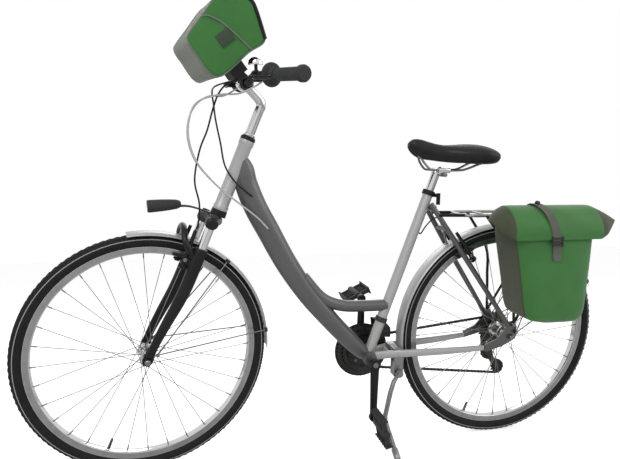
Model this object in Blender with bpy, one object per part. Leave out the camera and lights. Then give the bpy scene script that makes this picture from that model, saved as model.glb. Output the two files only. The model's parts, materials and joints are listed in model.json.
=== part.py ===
"""A low step-through trekking bike with a suspension fork, mudguards, rack and bags, leaning on its stand."""
import math

import bmesh
import bpy
from mathutils import Matrix, Quaternion, Vector

# Clearances between touching pieces
GAP = 0.0003
RUNNING = 0.0004

# Faces closer to one plane than this angle are joined
FLAT = 0.003

# Wheels
TYRE_RADIUS = 0.350
TYRE_HALF_WIDTH = 0.020
TYRE_WALL = 0.0032
RIM_OUTER = 0.3170
RIM_DEPTH = 0.0200
RIM_HALF_WIDTH = 0.0120
RIM_INNER = RIM_OUTER - RIM_DEPTH
WHEEL_SEGMENTS = 28
SPOKES_PER_SIDE = 16
SPOKE_CROSSES = 3
SPOKE_THICKNESS = 0.0017
FLANGE_THICKNESS = 0.0046
FRONT_FLANGE_RADIUS = 0.0200
FRONT_FLANGE_Y = (-0.034, 0.034)
REAR_FLANGE_RADIUS = 0.0240
REAR_FLANGE_Y = (-0.034, 0.0165)
AXLE_RADIUS = 0.0050
FRONT_HUB_ENDS = (-0.0455, 0.0455)
REAR_HUB_ENDS = (-0.0610, 0.0196)
FREEHUB_ENDS = (0.0200, 0.0590)
FREEHUB_RADIUS = 0.0165
FRONT_DROPOUT_SPACING = 0.100
REAR_DROPOUT_SPACING = 0.135

# Frame layout
WHEELBASE = 1.1317
CHAINSTAY_LENGTH = 0.4626
BB_HEIGHT = 0.2916
SEAT_ANGLE = math.radians(70.3)
SEAT_TUBE_LENGTH = 0.558
SEAT_TUBE_RADIUS = 0.0158
SEATPOST_RADIUS = 0.0135
SEATPOST_INSERTION = 0.110
SADDLE_CLAMP_HEIGHT = 0.622
BB_SHELL_RADIUS = 0.0210
BB_SHELL_HALF_WIDTH = 0.034
SPINDLE_RADIUS = 0.0085
BRACE_TUBE_RADIUS = 0.0182
CHAINSTAY_DEPTH = 0.026
CHAINSTAY_WIDTH = 0.0145
SEATSTAY_RADIUS = 0.0085
DROPOUT_THICKNESS = 0.006

# Steering
HEAD_ANGLE = math.radians(68.2)
FORK_RAKE = 0.045
STEER_TURN = math.radians(8.0)
HEAD_TUBE_BOTTOM = 0.4621
HEAD_TUBE_TOP = 0.6737
HEAD_TUBE_RADIUS = 0.0200
STEERER_RADIUS = 0.0143
CROWN_TOP = 0.4500
STANCHION_RADIUS = 0.0128
STANCHION_OFFSET = 0.022
STANCHION_Y = 0.060
STANCHION_BOTTOM = 0.272
LOWERS_TOP = 0.340
FORK_TRAVEL = 0.038
HEADSET_HEIGHT = 0.0125
STEM_FOOT = HEAD_TUBE_TOP + GAP + HEADSET_HEIGHT + RUNNING
BAR_RADIUS = 0.0127
GRIP_BAR_RADIUS = 0.0111
GRIP_RADIUS = 0.0165

# Drive train
PITCH = 0.0127
RING_TEETH = (24, 34, 42)
RING_Y = (0.0395, 0.0465, 0.0535)
COG_TEETH = (28, 24, 21, 18, 15, 13, 11)
COG_FIRST_Y = 0.0245
COG_SPACING = 0.005
CHAIN_RING = 0
CHAIN_COG = 3
PULLEY_TEETH = 11
SPROCKET_THICKNESS = 0.0018
PLATE_HEIGHT = 0.0080
PLATE_THICKNESS = 0.0014
CHAIN_INNER_WIDTH = 0.0040
ROLLER_RADIUS = 0.0028
TOOTH_RISE = 0.0028
ROLLER_END = 0.0007
GUIDE_PULLEY = (0.451, 0.260)
CAGE_LENGTH = 0.067
CAGE_ANGLE = math.radians(-56.5)
PEDAL_SIDE = 0.1425
CRANK_LENGTH = 0.170
GUARD_RADIUS = 0.0895
SPIDER_Y = 0.0610
PEDAL_AXLE_RADIUS = 0.0045
PEDAL_LEFT_TILT = math.radians(77.0)
PEDAL_RIGHT_TILT = math.radians(-25.0)

# Brakes
RIM_PAD_RADIUS = 0.3034
BOSS_DROP = 0.0194
BOSS_SIDE = 0.0465
ARM_LENGTH = 0.104
PAD_GAP = 0.0016

# Fittings
MUDGUARD_RADIUS = 0.3570
MUDGUARD_WIDTH = 0.052
MUDGUARD_THICKNESS = 0.0018
RACK_HEIGHT = 0.742
RACK_ROD_RADIUS = 0.0050
RACK_HALF_WIDTH = 0.058
STAND_FOOT_RADIUS = 0.010
LEAN = math.radians(7.0)

AXIS_Y = Vector((0.0, 1.0, 0.0))
HUB_X = math.sqrt(CHAINSTAY_LENGTH ** 2 - (TYRE_RADIUS - BB_HEIGHT) ** 2)
REAR_HUB = Vector((HUB_X, 0.0, TYRE_RADIUS))
FRONT_HUB = Vector((HUB_X - WHEELBASE, 0.0, TYRE_RADIUS))
BB = Vector((0.0, 0.0, BB_HEIGHT))
STEER_AXIS = Vector((math.cos(HEAD_ANGLE), 0.0, math.sin(HEAD_ANGLE)))
STEER_FRONT = Vector((-math.sin(HEAD_ANGLE), 0.0, math.cos(HEAD_ANGLE)))
STEER_BASE = FRONT_HUB - STEER_FRONT * FORK_RAKE
SEAT_AXIS = Vector((math.cos(SEAT_ANGLE), 0.0, math.sin(SEAT_ANGLE)))
SEAT_BACK = Vector((math.sin(SEAT_ANGLE), 0.0, -math.cos(SEAT_ANGLE)))
SEAT_TOP = BB + SEAT_AXIS * SEAT_TUBE_LENGTH
CHAIN_Y = RING_Y[CHAIN_RING]


def on_steerer(along, forward=0.0, side=0.0):
    """A point given by its distance along the steering axis, forward of it, and to the right."""
    return STEER_BASE + STEER_AXIS * along + STEER_FRONT * forward + AXIS_Y * side


def clear_scene():
    for old in list(bpy.data.objects):
        bpy.data.objects.remove(old, do_unlink=True)


def mesh_from(bm, merge=0.0):
    """Finish a bmesh as a mesh with its faces pointing outwards."""
    if merge:
        bmesh.ops.remove_doubles(bm, verts=bm.verts, dist=merge)
    bmesh.ops.recalc_face_normals(bm, faces=bm.faces)
    mesh = bpy.data.meshes.new("shape")
    bm.to_mesh(mesh)
    bm.free()
    return mesh


def combine(operation, first, *others):
    """Join or cut closed meshes and return the result."""
    result = first
    for other in others:
        base = bpy.data.objects.new("base", result)
        tool = bpy.data.objects.new("tool", other)
        for item in (base, tool):
            bpy.context.collection.objects.link(item)
        step = base.modifiers.new("combine", "BOOLEAN")
        step.operation = operation
        step.solver = "EXACT"
        step.object = tool
        graph = bpy.context.evaluated_depsgraph_get()
        graph.update()
        result = bpy.data.meshes.new_from_object(base.evaluated_get(graph))
        for item in (base, tool):
            bpy.data.objects.remove(item, do_unlink=True)
    return result


def union(first, *others):
    return combine("UNION", first, *others)


def cut(first, *others):
    return combine("DIFFERENCE", first, *others)


def smooth_path(points, count):
    """Points at even parameters of a smooth curve through the given tuples of numbers."""
    ends = [points[0]] + list(points) + [points[-1]]
    result = []
    for step in range(count):
        place = step / (count - 1) * (len(points) - 1)
        index = min(int(place), len(points) - 2)
        t = place - index
        a, b, c, d = ends[index:index + 4]
        result.append(tuple(
            0.5 * (2 * q + (r - p) * t + (2 * p - 5 * q + 4 * r - s) * t * t + (3 * q - p - 3 * r + s) * t ** 3)
            for p, q, r, s in zip(a, b, c, d)))
    return result


def circle_outline(radius, count, start=0.0, centre=(0.0, 0.0)):
    return [(centre[0] + radius * math.cos(start + math.tau * k / count),
             centre[1] + radius * math.sin(start + math.tau * k / count)) for k in range(count)]


def sweep(path, sizes, sides=12, across=AXIS_Y, outline=None):
    """A solid along a path: sizes gives its half size in the path's plane and across it."""
    path = [Vector(p) for p in path]
    if not isinstance(sizes, list):
        sizes = [sizes] * len(path)
    bm = bmesh.new()
    shape = outline or circle_outline(1.0, sides, math.pi / sides)
    cap = bm.faces.new([bm.verts.new((a, b, 0.0)) for a, b in shape])
    verts = bm.verts[:]
    last = Matrix.Identity(4)
    for index, point in enumerate(path):
        ahead = path[min(index + 1, len(path) - 1)] - path[max(index - 1, 0)]
        tangent = ahead.normalized()
        side = (across - tangent * across.dot(tangent)).normalized()
        normal = side.cross(tangent)
        size = sizes[index] if isinstance(sizes[index], tuple) else (sizes[index], sizes[index])
        place = Matrix((normal * size[0], side * size[1], tangent)).transposed().to_4x4()
        place.translation = point
        if index:
            grown = bmesh.ops.extrude_face_region(bm, geom=[cap])
            if index > 1:
                bmesh.ops.delete(bm, geom=[cap], context="FACES_ONLY")
            verts = [g for g in grown["geom"] if isinstance(g, bmesh.types.BMVert)]
            cap = next(g for g in grown["geom"] if isinstance(g, bmesh.types.BMFace))
        step = place @ last.inverted()
        for vert in verts:
            vert.co = step @ vert.co
        last = place
    return mesh_from(bm)


def rod(start, end, radius, sides=12, end_radius=None):
    """A straight round rod, tapered if its end radius is given."""
    start, end = Vector(start), Vector(end)
    along = (end - start).normalized()
    across = AXIS_Y if abs(along.y) < 0.9 else Vector((0.0, 0.0, 1.0))
    return sweep([start, end], [radius, end_radius or radius], sides, across)


def clear(radius, sides):
    """The corner radius of a bore with flat sides that still clears a round of this radius."""
    return radius / math.cos(math.pi / sides)


def drill(start, end, radius, sides=12):
    """A cutter for a bore that clears a round of this radius."""
    return rod(start, end, clear(radius, sides), sides)


def turned(profile, centre, axis=AXIS_Y, segments=24, start=0.0, closed=True):
    """Turn a profile of (radius, height) points about an axis; a closed one makes a ring."""
    axis = Vector(axis).normalized()
    out = axis.orthogonal().normalized() if abs(axis.y) < 0.99 else Vector((0.0, 0.0, -1.0))
    out = Quaternion(axis, start) @ out
    centre = Vector(centre)
    bm = bmesh.new()
    verts = [bm.verts.new(centre + out * r + axis * h) for r, h in profile]
    edges = [bm.edges.new(pair) for pair in zip(verts, verts[1:])]
    if closed:
        edges.append(bm.edges.new((verts[-1], verts[0])))
    bmesh.ops.spin(bm, geom=verts + edges, cent=centre, axis=axis, angle=math.tau,
                   steps=segments, use_merge=True)
    return mesh_from(bm, 1e-6)


def collar(centre, axis, outer, inner, half, segments=16):
    """A plain ring round an axis."""
    bore = clear(inner, segments)
    return turned([(outer, -half), (outer, half), (bore, half), (bore, -half)], centre, axis, segments)


def plate(outline, low, high, right=(1.0, 0.0, 0.0), up=(0.0, 0.0, 1.0), origin=(0.0, 0.0, 0.0)):
    """A flat plate: an outline drawn along right and up, thick from low to high across them."""
    right, up, origin = Vector(right), Vector(up), Vector(origin)
    out = right.cross(up).normalized() * -1.0
    bm = bmesh.new()
    face = bm.faces.new([bm.verts.new(origin + right * a + up * b + out * low) for a, b in outline])
    grown = bmesh.ops.extrude_face_region(bm, geom=[face])
    moved = [g for g in grown["geom"] if isinstance(g, bmesh.types.BMVert)]
    bmesh.ops.translate(bm, verts=moved, vec=out * (high - low))
    return mesh_from(bm)


def block(centre, size, right=(1.0, 0.0, 0.0), up=(0.0, 0.0, 1.0)):
    """A box of the given size along right, across and up."""
    w, d, h = (s / 2 for s in size)
    return plate([(-w, -h), (w, -h), (w, h), (-w, h)], -d, d, right, up, centre)


MATERIALS = {
    "frame_grey": ((0.085, 0.085, 0.082), 0.42, 0.55),
    "silver_paint": ((0.47, 0.48, 0.47), 0.38, 0.60),
    "fork_black": ((0.020, 0.020, 0.021), 0.40, 0.20),
    "bright_alloy": ((0.62, 0.62, 0.61), 0.30, 1.00),
    "dull_steel": ((0.35, 0.35, 0.35), 0.38, 1.00),
    "black_plastic": ((0.022, 0.022, 0.024), 0.50, 0.00),
    "grip_grey": ((0.075, 0.075, 0.078), 0.70, 0.00),
    "tyre_black": ((0.018, 0.018, 0.018), 0.75, 0.00),
    "chain_steel": ((0.16, 0.15, 0.14), 0.40, 1.00),
    "saddle_black": ((0.016, 0.016, 0.017), 0.55, 0.00),
    "bag_green": ((0.060, 0.300, 0.055), 0.62, 0.00),
    "cable_pale": ((0.60, 0.61, 0.60), 0.40, 0.00),
    "cable_black": ((0.020, 0.020, 0.020), 0.45, 0.00),
    "lamp_black": ((0.025, 0.025, 0.026), 0.35, 0.00),
}


def material(name, label):
    colour, roughness, metallic = MATERIALS[label]
    made = bpy.data.materials.new(name)
    made.use_nodes = True
    shader = made.node_tree.nodes["Principled BSDF"]
    shader.inputs["Base Color"].default_value = (*colour, 1.0)
    shader.inputs["Roughness"].default_value = roughness
    shader.inputs["Metallic"].default_value = metallic
    return made


def attach(made, parent):
    """Hang a piece on its parent so that its own place stays in bike coordinates."""
    bpy.context.collection.objects.link(made)
    made.parent = parent
    made.matrix_parent_inverse = Matrix.Translation(-Vector(parent["rest"]))
    return made


def piece(name, mesh, parent, origin, label, smooth=math.radians(35)):
    """One named sub-part, with its origin on its joint's axis or on what carries it."""
    bm = bmesh.new()
    bm.from_mesh(mesh)
    bmesh.ops.dissolve_limit(bm, angle_limit=FLAT, verts=bm.verts, edges=bm.edges)
    mesh = mesh_from(bm)
    mesh.transform(Matrix.Translation(-Vector(origin)))
    mesh.name = name
    mesh.materials.clear()
    mesh.materials.append(material(name, label))
    mesh.shade_smooth()
    mesh.set_sharp_from_angle(angle=smooth)
    made = bpy.data.objects.new(name, mesh)
    made.location = origin
    return attach(made, parent)


def empty(name, location=(0.0, 0.0, 0.0)):
    """A point to hang pieces on; it remembers where it stood while they were placed."""
    made = bpy.data.objects.new(name, None)
    made.location = location
    made["rest"] = tuple(location)
    return made


def cable(name, points, count, radius, parent, label):
    """A housing held at both ends: a round tube on a smooth curve through the given points."""
    curve = bpy.data.curves.new(name, "CURVE")
    curve.dimensions = "3D"
    curve.bevel_depth = radius
    curve.bevel_resolution = 2
    curve.use_fill_caps = True
    spline = curve.splines.new("POLY")
    places = smooth_path(points, count)
    spline.points.add(len(places) - 1)
    for point, place in zip(spline.points, places):
        point.co = (*place, 1.0)
    curve.materials.append(material(name, label))
    return attach(bpy.data.objects.new(name, curve), parent)


# Wheels

def tyre(centre):
    """A hollow tyre: rounded outside, open to the rim inside."""
    beads = RIM_OUTER + GAP
    half = TYRE_HALF_WIDTH
    radius = TYRE_RADIUS / math.cos(math.pi / WHEEL_SEGMENTS)
    outer = [(beads, 0.62 * half), ((radius + beads) / 2, half), (radius, 0.42 * half)]
    profile = outer + [(r, -y) for r, y in reversed(outer)]
    profile += [(beads, TYRE_WALL - 0.62 * half), (radius - TYRE_WALL - 0.0015, 0.0), (beads,
                                                                                       0.62 * half - TYRE_WALL)]
    return turned(profile, centre, segments=WHEEL_SEGMENTS, start=math.pi / WHEEL_SEGMENTS)


def rim(centre):
    """A box-shaped rim with flat braking sides and a trough under the tyre."""
    half = RIM_HALF_WIDTH
    sides = [(RIM_INNER, 0.4 * half), (RIM_INNER + 0.002, half), (RIM_OUTER, half)]
    profile = sides + [(RIM_OUTER - 0.008, 0.0)] + [(r, -y) for r, y in reversed(sides)]
    return turned(profile, centre, segments=WHEEL_SEGMENTS, start=math.pi / WHEEL_SEGMENTS)


def spoke_set(centre, flange_ys, flange_radius):
    """Crossed spokes as three-sided wires, from each flange to just under the rim."""
    root = flange_radius - 0.0030
    tip = RIM_INNER * math.cos(math.pi / WHEEL_SEGMENTS) - GAP
    step = math.tau / SPOKES_PER_SIDE
    offset = (FLANGE_THICKNESS - SPOKE_THICKNESS) / 2 - 0.0001
    wires = bmesh.new()
    for side, flange in enumerate(flange_ys):
        for index in range(SPOKES_PER_SIDE):
            lead = 1 if index % 2 else -1
            start = (index + 0.5 * side) * step
            end = start + lead * SPOKE_CROSSES * step
            foot = Vector((root * math.cos(start), flange + lead * offset, root * math.sin(start)))
            head = Vector((tip * math.cos(end), math.copysign(0.0022, flange), tip * math.sin(end)))
            wires.from_mesh(rod(centre + foot, centre + head, SPOKE_THICKNESS * 0.58, 3))
    return mesh_from(wires)


def hub(centre, flange_ys, flange_radius, ends, barrel):
    """A hub shell with two flanges on a bored barrel, and its spokes."""
    bore = clear(AXLE_RADIUS + RUNNING, 10)
    f = FLANGE_THICKNESS / 2
    left, right = flange_ys
    profile = [(bore, ends[0]), (barrel * 0.75, ends[0]), (barrel, left - f)]
    for y in flange_ys:
        profile += [(flange_radius, y - f), (flange_radius, y + f), (barrel, y + f), (barrel, right - f)]
    profile = profile[:-1] + [(barrel * 0.75, ends[1]), (bore, ends[1])]
    body = turned(profile, centre, segments=10)
    return union(body, spoke_set(centre, flange_ys, flange_radius))


def axle(centre, spacing, turning_ends, nut_depth=0.012):
    """A quick-release axle: lock nuts beside what turns on it, and a clamping nut outside each dropout."""
    inside = spacing / 2 - GAP
    outside = spacing / 2 + DROPOUT_THICKNESS + GAP
    nut = 0.0090
    lock = 0.0078
    low, high = turning_ends
    profile = [(0.0, -outside - nut_depth), (nut, -outside - nut_depth), (nut, -outside), (AXLE_RADIUS,
                                                                                           -outside),
               (AXLE_RADIUS, -inside), (lock, -inside), (lock, low - RUNNING),
               (AXLE_RADIUS, low - RUNNING), (AXLE_RADIUS, high + RUNNING), (lock, high + RUNNING), (lock,
                                                                                                     inside),
               (AXLE_RADIUS, inside), (AXLE_RADIUS, outside), (nut, outside), (nut, outside + nut_depth),
               (0.0, outside + nut_depth)]
    return turned(profile, centre, segments=6, closed=False)


# Drive train

def tangent(first, second):
    """Touch points of a belt leaving one pulley for the next: each is (x, z, radius, sense)."""
    dx, dz = second[0] - first[0], second[1] - first[1]
    lean = math.asin((second[3] * second[2] - first[3] * first[2]) / math.hypot(dx, dz))
    heading = math.atan2(dz, dx) - lean
    left = (-math.sin(heading), math.cos(heading))
    points = [(p[0] - p[3] * p[2] * left[0], p[1] - p[3] * p[2] * left[1]) for p in (first, second)]
    return points, heading


def chain_loop(pulleys):
    """The belt round all pulleys as (kind, length, data) stretches, and its whole length."""
    count = len(pulleys)
    lines = [tangent(pulleys[k], pulleys[(k + 1) % count]) for k in range(count)]
    stretches = []
    for k, pulley in enumerate(pulleys):
        (enter, came), (leave, went) = (lines[k - 1][0][1], lines[k - 1][1]), (lines[k][0][0], lines[k][1])
        sense = pulley[3]
        turn = ((went - came) * sense) % math.tau
        begin = math.atan2(enter[1] - pulley[1], enter[0] - pulley[0])
        stretches.append(("arc", turn * pulley[2], (pulley, begin)))
        (ax, az), (bx, bz) = lines[k][0]
        stretches.append(("line", math.hypot(bx - ax, bz - az), ((ax, az), (bx, bz))))
    return stretches, sum(s[1] for s in stretches)


def chain_layout():
    """Pulleys with the cage swung so that the chain has a whole number of links, and its rollers."""
    ring = RING_TEETH[CHAIN_RING] * PITCH / math.tau
    cog = COG_TEETH[CHAIN_COG] * PITCH / math.tau
    pulley = PULLEY_TEETH * PITCH / math.tau

    def layout(angle):
        tension = (GUIDE_PULLEY[0] + CAGE_LENGTH * math.cos(angle),
                   GUIDE_PULLEY[1] + CAGE_LENGTH * math.sin(angle))
        return [(BB.x, BB.z, ring, 1), (*tension, pulley, 1), (*GUIDE_PULLEY, pulley, -1),
                (REAR_HUB.x, REAR_HUB.z, cog, 1)]

    links = 2 * round(chain_loop(layout(CAGE_ANGLE))[1] / PITCH / 2)
    low, high = CAGE_ANGLE - 0.5, CAGE_ANGLE + 0.5
    for _ in range(50):
        middle = (low + high) / 2
        if chain_loop(layout(middle))[1] < links * PITCH:
            low = middle
        else:
            high = middle
    pulleys = layout(middle)
    stretches, total = chain_loop(pulleys)
    pitch = total / links
    rollers = []
    for k in range(links):
        rest = k * pitch
        for kind, length, data in stretches:
            if rest <= length:
                break
            rest -= length
        if kind == "arc":
            (x, z, radius, sense), begin = data
            angle = begin + sense * rest / radius
            place = (x + radius * math.cos(angle), z + radius * math.sin(angle))
            heading = angle + sense * math.pi / 2
        else:
            (ax, az), (bx, bz) = data
            place = (ax + (bx - ax) * rest / length, az + (bz - az) * rest / length)
            heading = math.atan2(bz - az, bx - ax)
        rollers.append((*place, heading))
    return pulleys, rollers


PULLEYS, ROLLERS = chain_layout()


def gap_angle(pulley):
    """The angle at which a roller of the chain seats on this pulley."""
    x, z, radius, _ = pulley
    near = min(ROLLERS, key=lambda r: abs(math.hypot(r[0] - x, r[1] - z) - radius))
    return math.atan2(near[1] - z, near[0] - x)


def teeth_outline(teeth, start):
    """A toothed outline whose low points seat the rollers."""
    pitch_radius = teeth * PITCH / math.tau
    points = []
    for k in range(teeth):
        low = start + math.tau * k / teeth
        high = low + math.pi / teeth
        points.append(((pitch_radius - 0.0050) * math.cos(low), (pitch_radius - 0.0050) * math.sin(low)))
        points.append(((pitch_radius + TOOTH_RISE) * math.cos(high),
                       (pitch_radius + TOOTH_RISE) * math.sin(high)))
    return points


def chain_stations():
    """Each roller on the pulleys, every second on the sprockets, and every fourteenth where it runs straight."""
    kept = []
    for k, (x, z, heading) in enumerate(ROLLERS):
        ahead, behind = ROLLERS[k + 1 - len(ROLLERS)], ROLLERS[k - 1]
        bend = max(abs(math.remainder(near[2] - heading, math.tau)) for near in (ahead, behind))
        step = 1 if bend > 0.4 else 2 if bend > 1e-4 else 14
        if k % step == 0:
            kept.append((x, z, heading))
    return kept


def in_teeth(x, z):
    """Whether turning teeth pass through the middle of a roller here."""
    reach = TOOTH_RISE + ROLLER_RADIUS + GAP
    return any(math.hypot(x - px, z - pz) < radius + reach for px, pz, radius, _ in PULLEYS)


def chain():
    """Two rows of side plates joined by rollers, which are parted where the teeth run between their ends."""
    bm = bmesh.new()
    stations = chain_stations()
    rows = []
    for side in (-1, 1):
        inner = CHAIN_Y + side * CHAIN_INNER_WIDTH / 2
        outer = inner + side * PLATE_THICKNESS
        row = []
        for x, z, heading in stations:
            centre = Vector((x, 0.0, z))
            up = Vector((-math.sin(heading), 0.0, math.cos(heading)))
            ahead = Vector((math.cos(heading), 0.0, math.sin(heading)))
            band = [bm.verts.new(centre + up * lift * PLATE_HEIGHT / 2 + AXIS_Y * y)
                    for y, lift in ((inner, -1), (outer, -1), (outer, 1), (inner, 1))]
            sleeve = [bm.verts.new(centre + AXIS_Y * inner + (up * c + ahead * s) * ROLLER_RADIUS)
                      for c, s in ((-1, 0), (0, 1), (1, 0), (0, -1))]
            row.append((band, sleeve))
        rows.append(row)
        for (band, sleeve), (after, next_sleeve) in zip(row, row[1:] + row[:1]):
            for a in range(3):
                bm.faces.new((band[a], band[a + 1], after[a + 1], after[a]))
            bm.faces.new((band[0], after[0], next_sleeve[0], next_sleeve[3], next_sleeve[2],
                          after[3], band[3], sleeve[2], sleeve[1], sleeve[0]))
    for (x, z, _), (_, left), (_, right) in zip(stations, *rows):
        parted = in_teeth(x, z)
        tips = [[bm.verts.new(v.co + AXIS_Y * way * ROLLER_END) for v in sleeve] if parted else sleeve
                for way, sleeve in ((1, left), (-1, right))]
        for a in range(4):
            b = (a + 1) % 4
            if parted:
                bm.faces.new((left[a], left[b], tips[0][b], tips[0][a]))
                bm.faces.new((tips[1][a], tips[1][b], right[b], right[a]))
            else:
                bm.faces.new((left[a], left[b], right[b], right[a]))
        if parted:
            bm.faces.new(tips[0])
            bm.faces.new(tips[1])
    return mesh_from(bm)


def sprocket(centre, y, teeth, start, hole=0.0):
    half = SPROCKET_THICKNESS / 2
    body = plate(teeth_outline(teeth, start), y - half, y + half, origin=(centre.x, 0.0, centre.z))
    if hole:
        body = cut(body, rod((centre.x, y - 0.01, centre.z), (centre.x, y + 0.01, centre.z), hole, 10))
    return body


def chainrings():
    """Three rings on four posts; the smallest carries the chain and the largest shows its teeth."""
    hole = 0.0315
    inner = sprocket(BB, RING_Y[0], RING_TEETH[0], gap_angle(PULLEYS[0]), hole)
    middle = collar(BB + AXIS_Y * RING_Y[1], AXIS_Y, RING_TEETH[1] * PITCH / math.tau, hole,
                    SPROCKET_THICKNESS / 2, 14)
    outer = sprocket(BB, RING_Y[2], RING_TEETH[2], 0.0, hole)
    posts = []
    for k in range(4):
        angle = math.tau * k / 4 + math.pi / 4
        place = BB + Vector((math.cos(angle), 0.0, math.sin(angle))) * 0.0372
        posts.append(rod(place + AXIS_Y * (RING_Y[0] - 0.002), place + AXIS_Y * (SPIDER_Y - GAP), 0.0042, 4))
    return union(inner, *posts, middle, outer)


def cassette():
    """The freehub with its seven sprockets; the one that carries the chain has its teeth."""
    bore, core = clear(AXLE_RADIUS + RUNNING, 10), FREEHUB_RADIUS
    half = SPROCKET_THICKNESS / 2
    profile = [(bore, FREEHUB_ENDS[0]), (core, FREEHUB_ENDS[0])]
    for index, teeth in enumerate(COG_TEETH):
        y = COG_FIRST_Y + COG_SPACING * index
        tip = teeth * PITCH / math.tau
        if index != CHAIN_COG:
            profile += [(core, y - half), (tip, y - half), (tip, y + half), (core, y + half)]
    profile += [(core - 0.004, y + half), (core - 0.004, FREEHUB_ENDS[1]), (bore, FREEHUB_ENDS[1])]
    toothed = sprocket(REAR_HUB, COG_FIRST_Y + COG_SPACING * CHAIN_COG, COG_TEETH[CHAIN_COG],
                       gap_angle(PULLEYS[3]), core - 0.002)
    return union(turned(profile, REAR_HUB, segments=10), toothed)


def jockey(place, pulley):
    centre = Vector((place[0], 0.0, place[1]))
    wheel = sprocket(centre, CHAIN_Y, PULLEY_TEETH, gap_angle(pulley), hole=0.0)
    boss = rod(centre + AXIS_Y * (CHAIN_Y - 0.0032), centre + AXIS_Y * (CHAIN_Y + 0.0032), 0.0075, 8)
    hole = drill(centre + AXIS_Y * (CHAIN_Y - 0.01), centre + AXIS_Y * (CHAIN_Y + 0.01), 0.0030 + RUNNING, 8)
    return cut(union(wheel, boss), hole)


def crank_arm(side, way):
    """One crank from its boss at the bottom bracket to its end, with the pedal's axle."""
    y = side * 0.071
    end = BB + Vector((0.0, 0.0, way * CRANK_LENGTH))
    low, high = BB + AXIS_Y * y, end + AXIS_Y * y
    arm = sweep([low, low.lerp(high, 0.12), low.lerp(high, 0.9), high],
                [(0.0165, 0.0072), (0.0150, 0.0072), (0.0115, 0.0062), (0.0120, 0.0062)], 8)
    boss = rod(low - AXIS_Y * 0.0085, low + AXIS_Y * 0.0085, 0.0170, 8)
    eye = rod(high - AXIS_Y * 0.0070, high + AXIS_Y * 0.0070, 0.0130, 8)
    stub = rod(high, end + AXIS_Y * side * 0.176, PEDAL_AXLE_RADIUS, 8)
    return union(boss, arm, eye, stub)


def crank_left():
    bore = drill(BB - AXIS_Y * 0.1, BB - AXIS_Y * 0.05, SPINDLE_RADIUS + GAP)
    return cut(crank_arm(-1, -1), bore)


def crank_right():
    """The right crank with the spindle and the spider that carries the rings."""
    spindle = rod(BB - AXIS_Y * 0.0760, BB + AXIS_Y * 0.068, SPINDLE_RADIUS, 8)
    star = []
    for k in range(4):
        for radius, angle in ((0.062, 0.68), (0.062, 0.89), (0.020, math.pi / 2)):
            turn = math.tau * k / 4 + angle
            star.append((BB.x + radius * math.cos(turn), BB.z + radius * math.sin(turn)))
    return union(crank_arm(1, 1), spindle, plate(star, SPIDER_Y, SPIDER_Y + 0.0045))


def chain_guard():
    body = collar(BB + AXIS_Y * (SPIDER_Y - GAP - 0.0012), AXIS_Y, GUARD_RADIUS, 0.0520, 0.0012, 20)
    holes = [rod(BB + Vector((0.0635 * math.cos(a), 0.05, 0.0635 * math.sin(a))),
                 BB + Vector((0.0635 * math.cos(a), 0.07, 0.0635 * math.sin(a))), 0.0062, 6)
             for a in (math.tau * (k + 0.3) / 5 for k in range(5))]
    return cut(body, *holes)


def pedal(side, way, tilt):
    """A platform pedal: a bored barrel between two toothed side rails."""
    centre = BB + Vector((0.0, side * PEDAL_SIDE, way * CRANK_LENGTH))
    ahead = Vector((-math.cos(tilt), 0.0, math.sin(tilt)))
    lift = Vector((math.sin(tilt), 0.0, math.cos(tilt)))
    barrel = rod(centre - AXIS_Y * 0.045, centre + AXIS_Y * 0.045, 0.0115, 8)
    parts = []
    for way_x in (-1, 1):
        teeth = [(-0.044 + 0.088 * k / 4, 0.0100 if k % 2 else 0.0125) for k in range(5)]
        rail = teeth + [(-a, -b) for a, b in teeth]
        parts.append(plate(rail, 0.0375, 0.0430, AXIS_Y, lift, centre) if way_x > 0 else
                     plate(rail, -0.0430, -0.0375, AXIS_Y, lift, centre))
    for way_y in (-1, 1):
        parts.append(block(centre + AXIS_Y * way_y * 0.037, (0.078, 0.009, 0.014), ahead, lift))
    parts.append(block(centre, (0.078, 0.010, 0.012), ahead, lift))
    bore = drill(centre - AXIS_Y * 0.06, centre + AXIS_Y * 0.06, PEDAL_AXLE_RADIUS + RUNNING, 8)
    return cut(union(barrel, *parts), bore)


def rear_derailleur():
    """Hanger bolt, knuckles and the cage whose two plates carry the pulleys."""
    guide = Vector((GUIDE_PULLEY[0], CHAIN_Y, GUIDE_PULLEY[1]))
    tension = Vector((PULLEYS[1][0], CHAIN_Y, PULLEYS[1][1]))
    along = (tension - guide).normalized()
    reach = (tension - guide).length
    across = along.cross(AXIS_Y)
    shape = [(-0.013, -0.006), (-0.006, -0.013), (reach * 0.5, -0.009), (reach + 0.004, -0.011),
             (reach + 0.011, -0.003), (reach + 0.011, 0.005), (reach + 0.003, 0.011), (reach * 0.5, 0.007),
             (-0.004, 0.013), (-0.013, 0.006)]
    plates = [plate(shape, low, low + 0.0016, along, across, guide) for low in (-0.0071, 0.0055)]
    pins = [rod(p - AXIS_Y * 0.0085, p + AXIS_Y * 0.0085, 0.0030, 6) for p in (guide, tension)]
    bolt = Vector((0.4625, 0.0, 0.3170))
    knuckle = rod(bolt + AXIS_Y * 0.0740, bolt + AXIS_Y * 0.0900, 0.0115, 8)
    lower = rod(guide + AXIS_Y * 0.0060, guide + AXIS_Y * 0.0300, 0.0135, 8)
    link = sweep([bolt + AXIS_Y * 0.083, bolt + Vector((-0.005, 0.081, -0.022)), guide + AXIS_Y * 0.024],
                 [(0.0100, 0.0065), (0.0115, 0.0080), (0.0110, 0.0060)], 8)
    return union(plates[0], pins[0], pins[1], plates[1], lower, link, knuckle)


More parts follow.
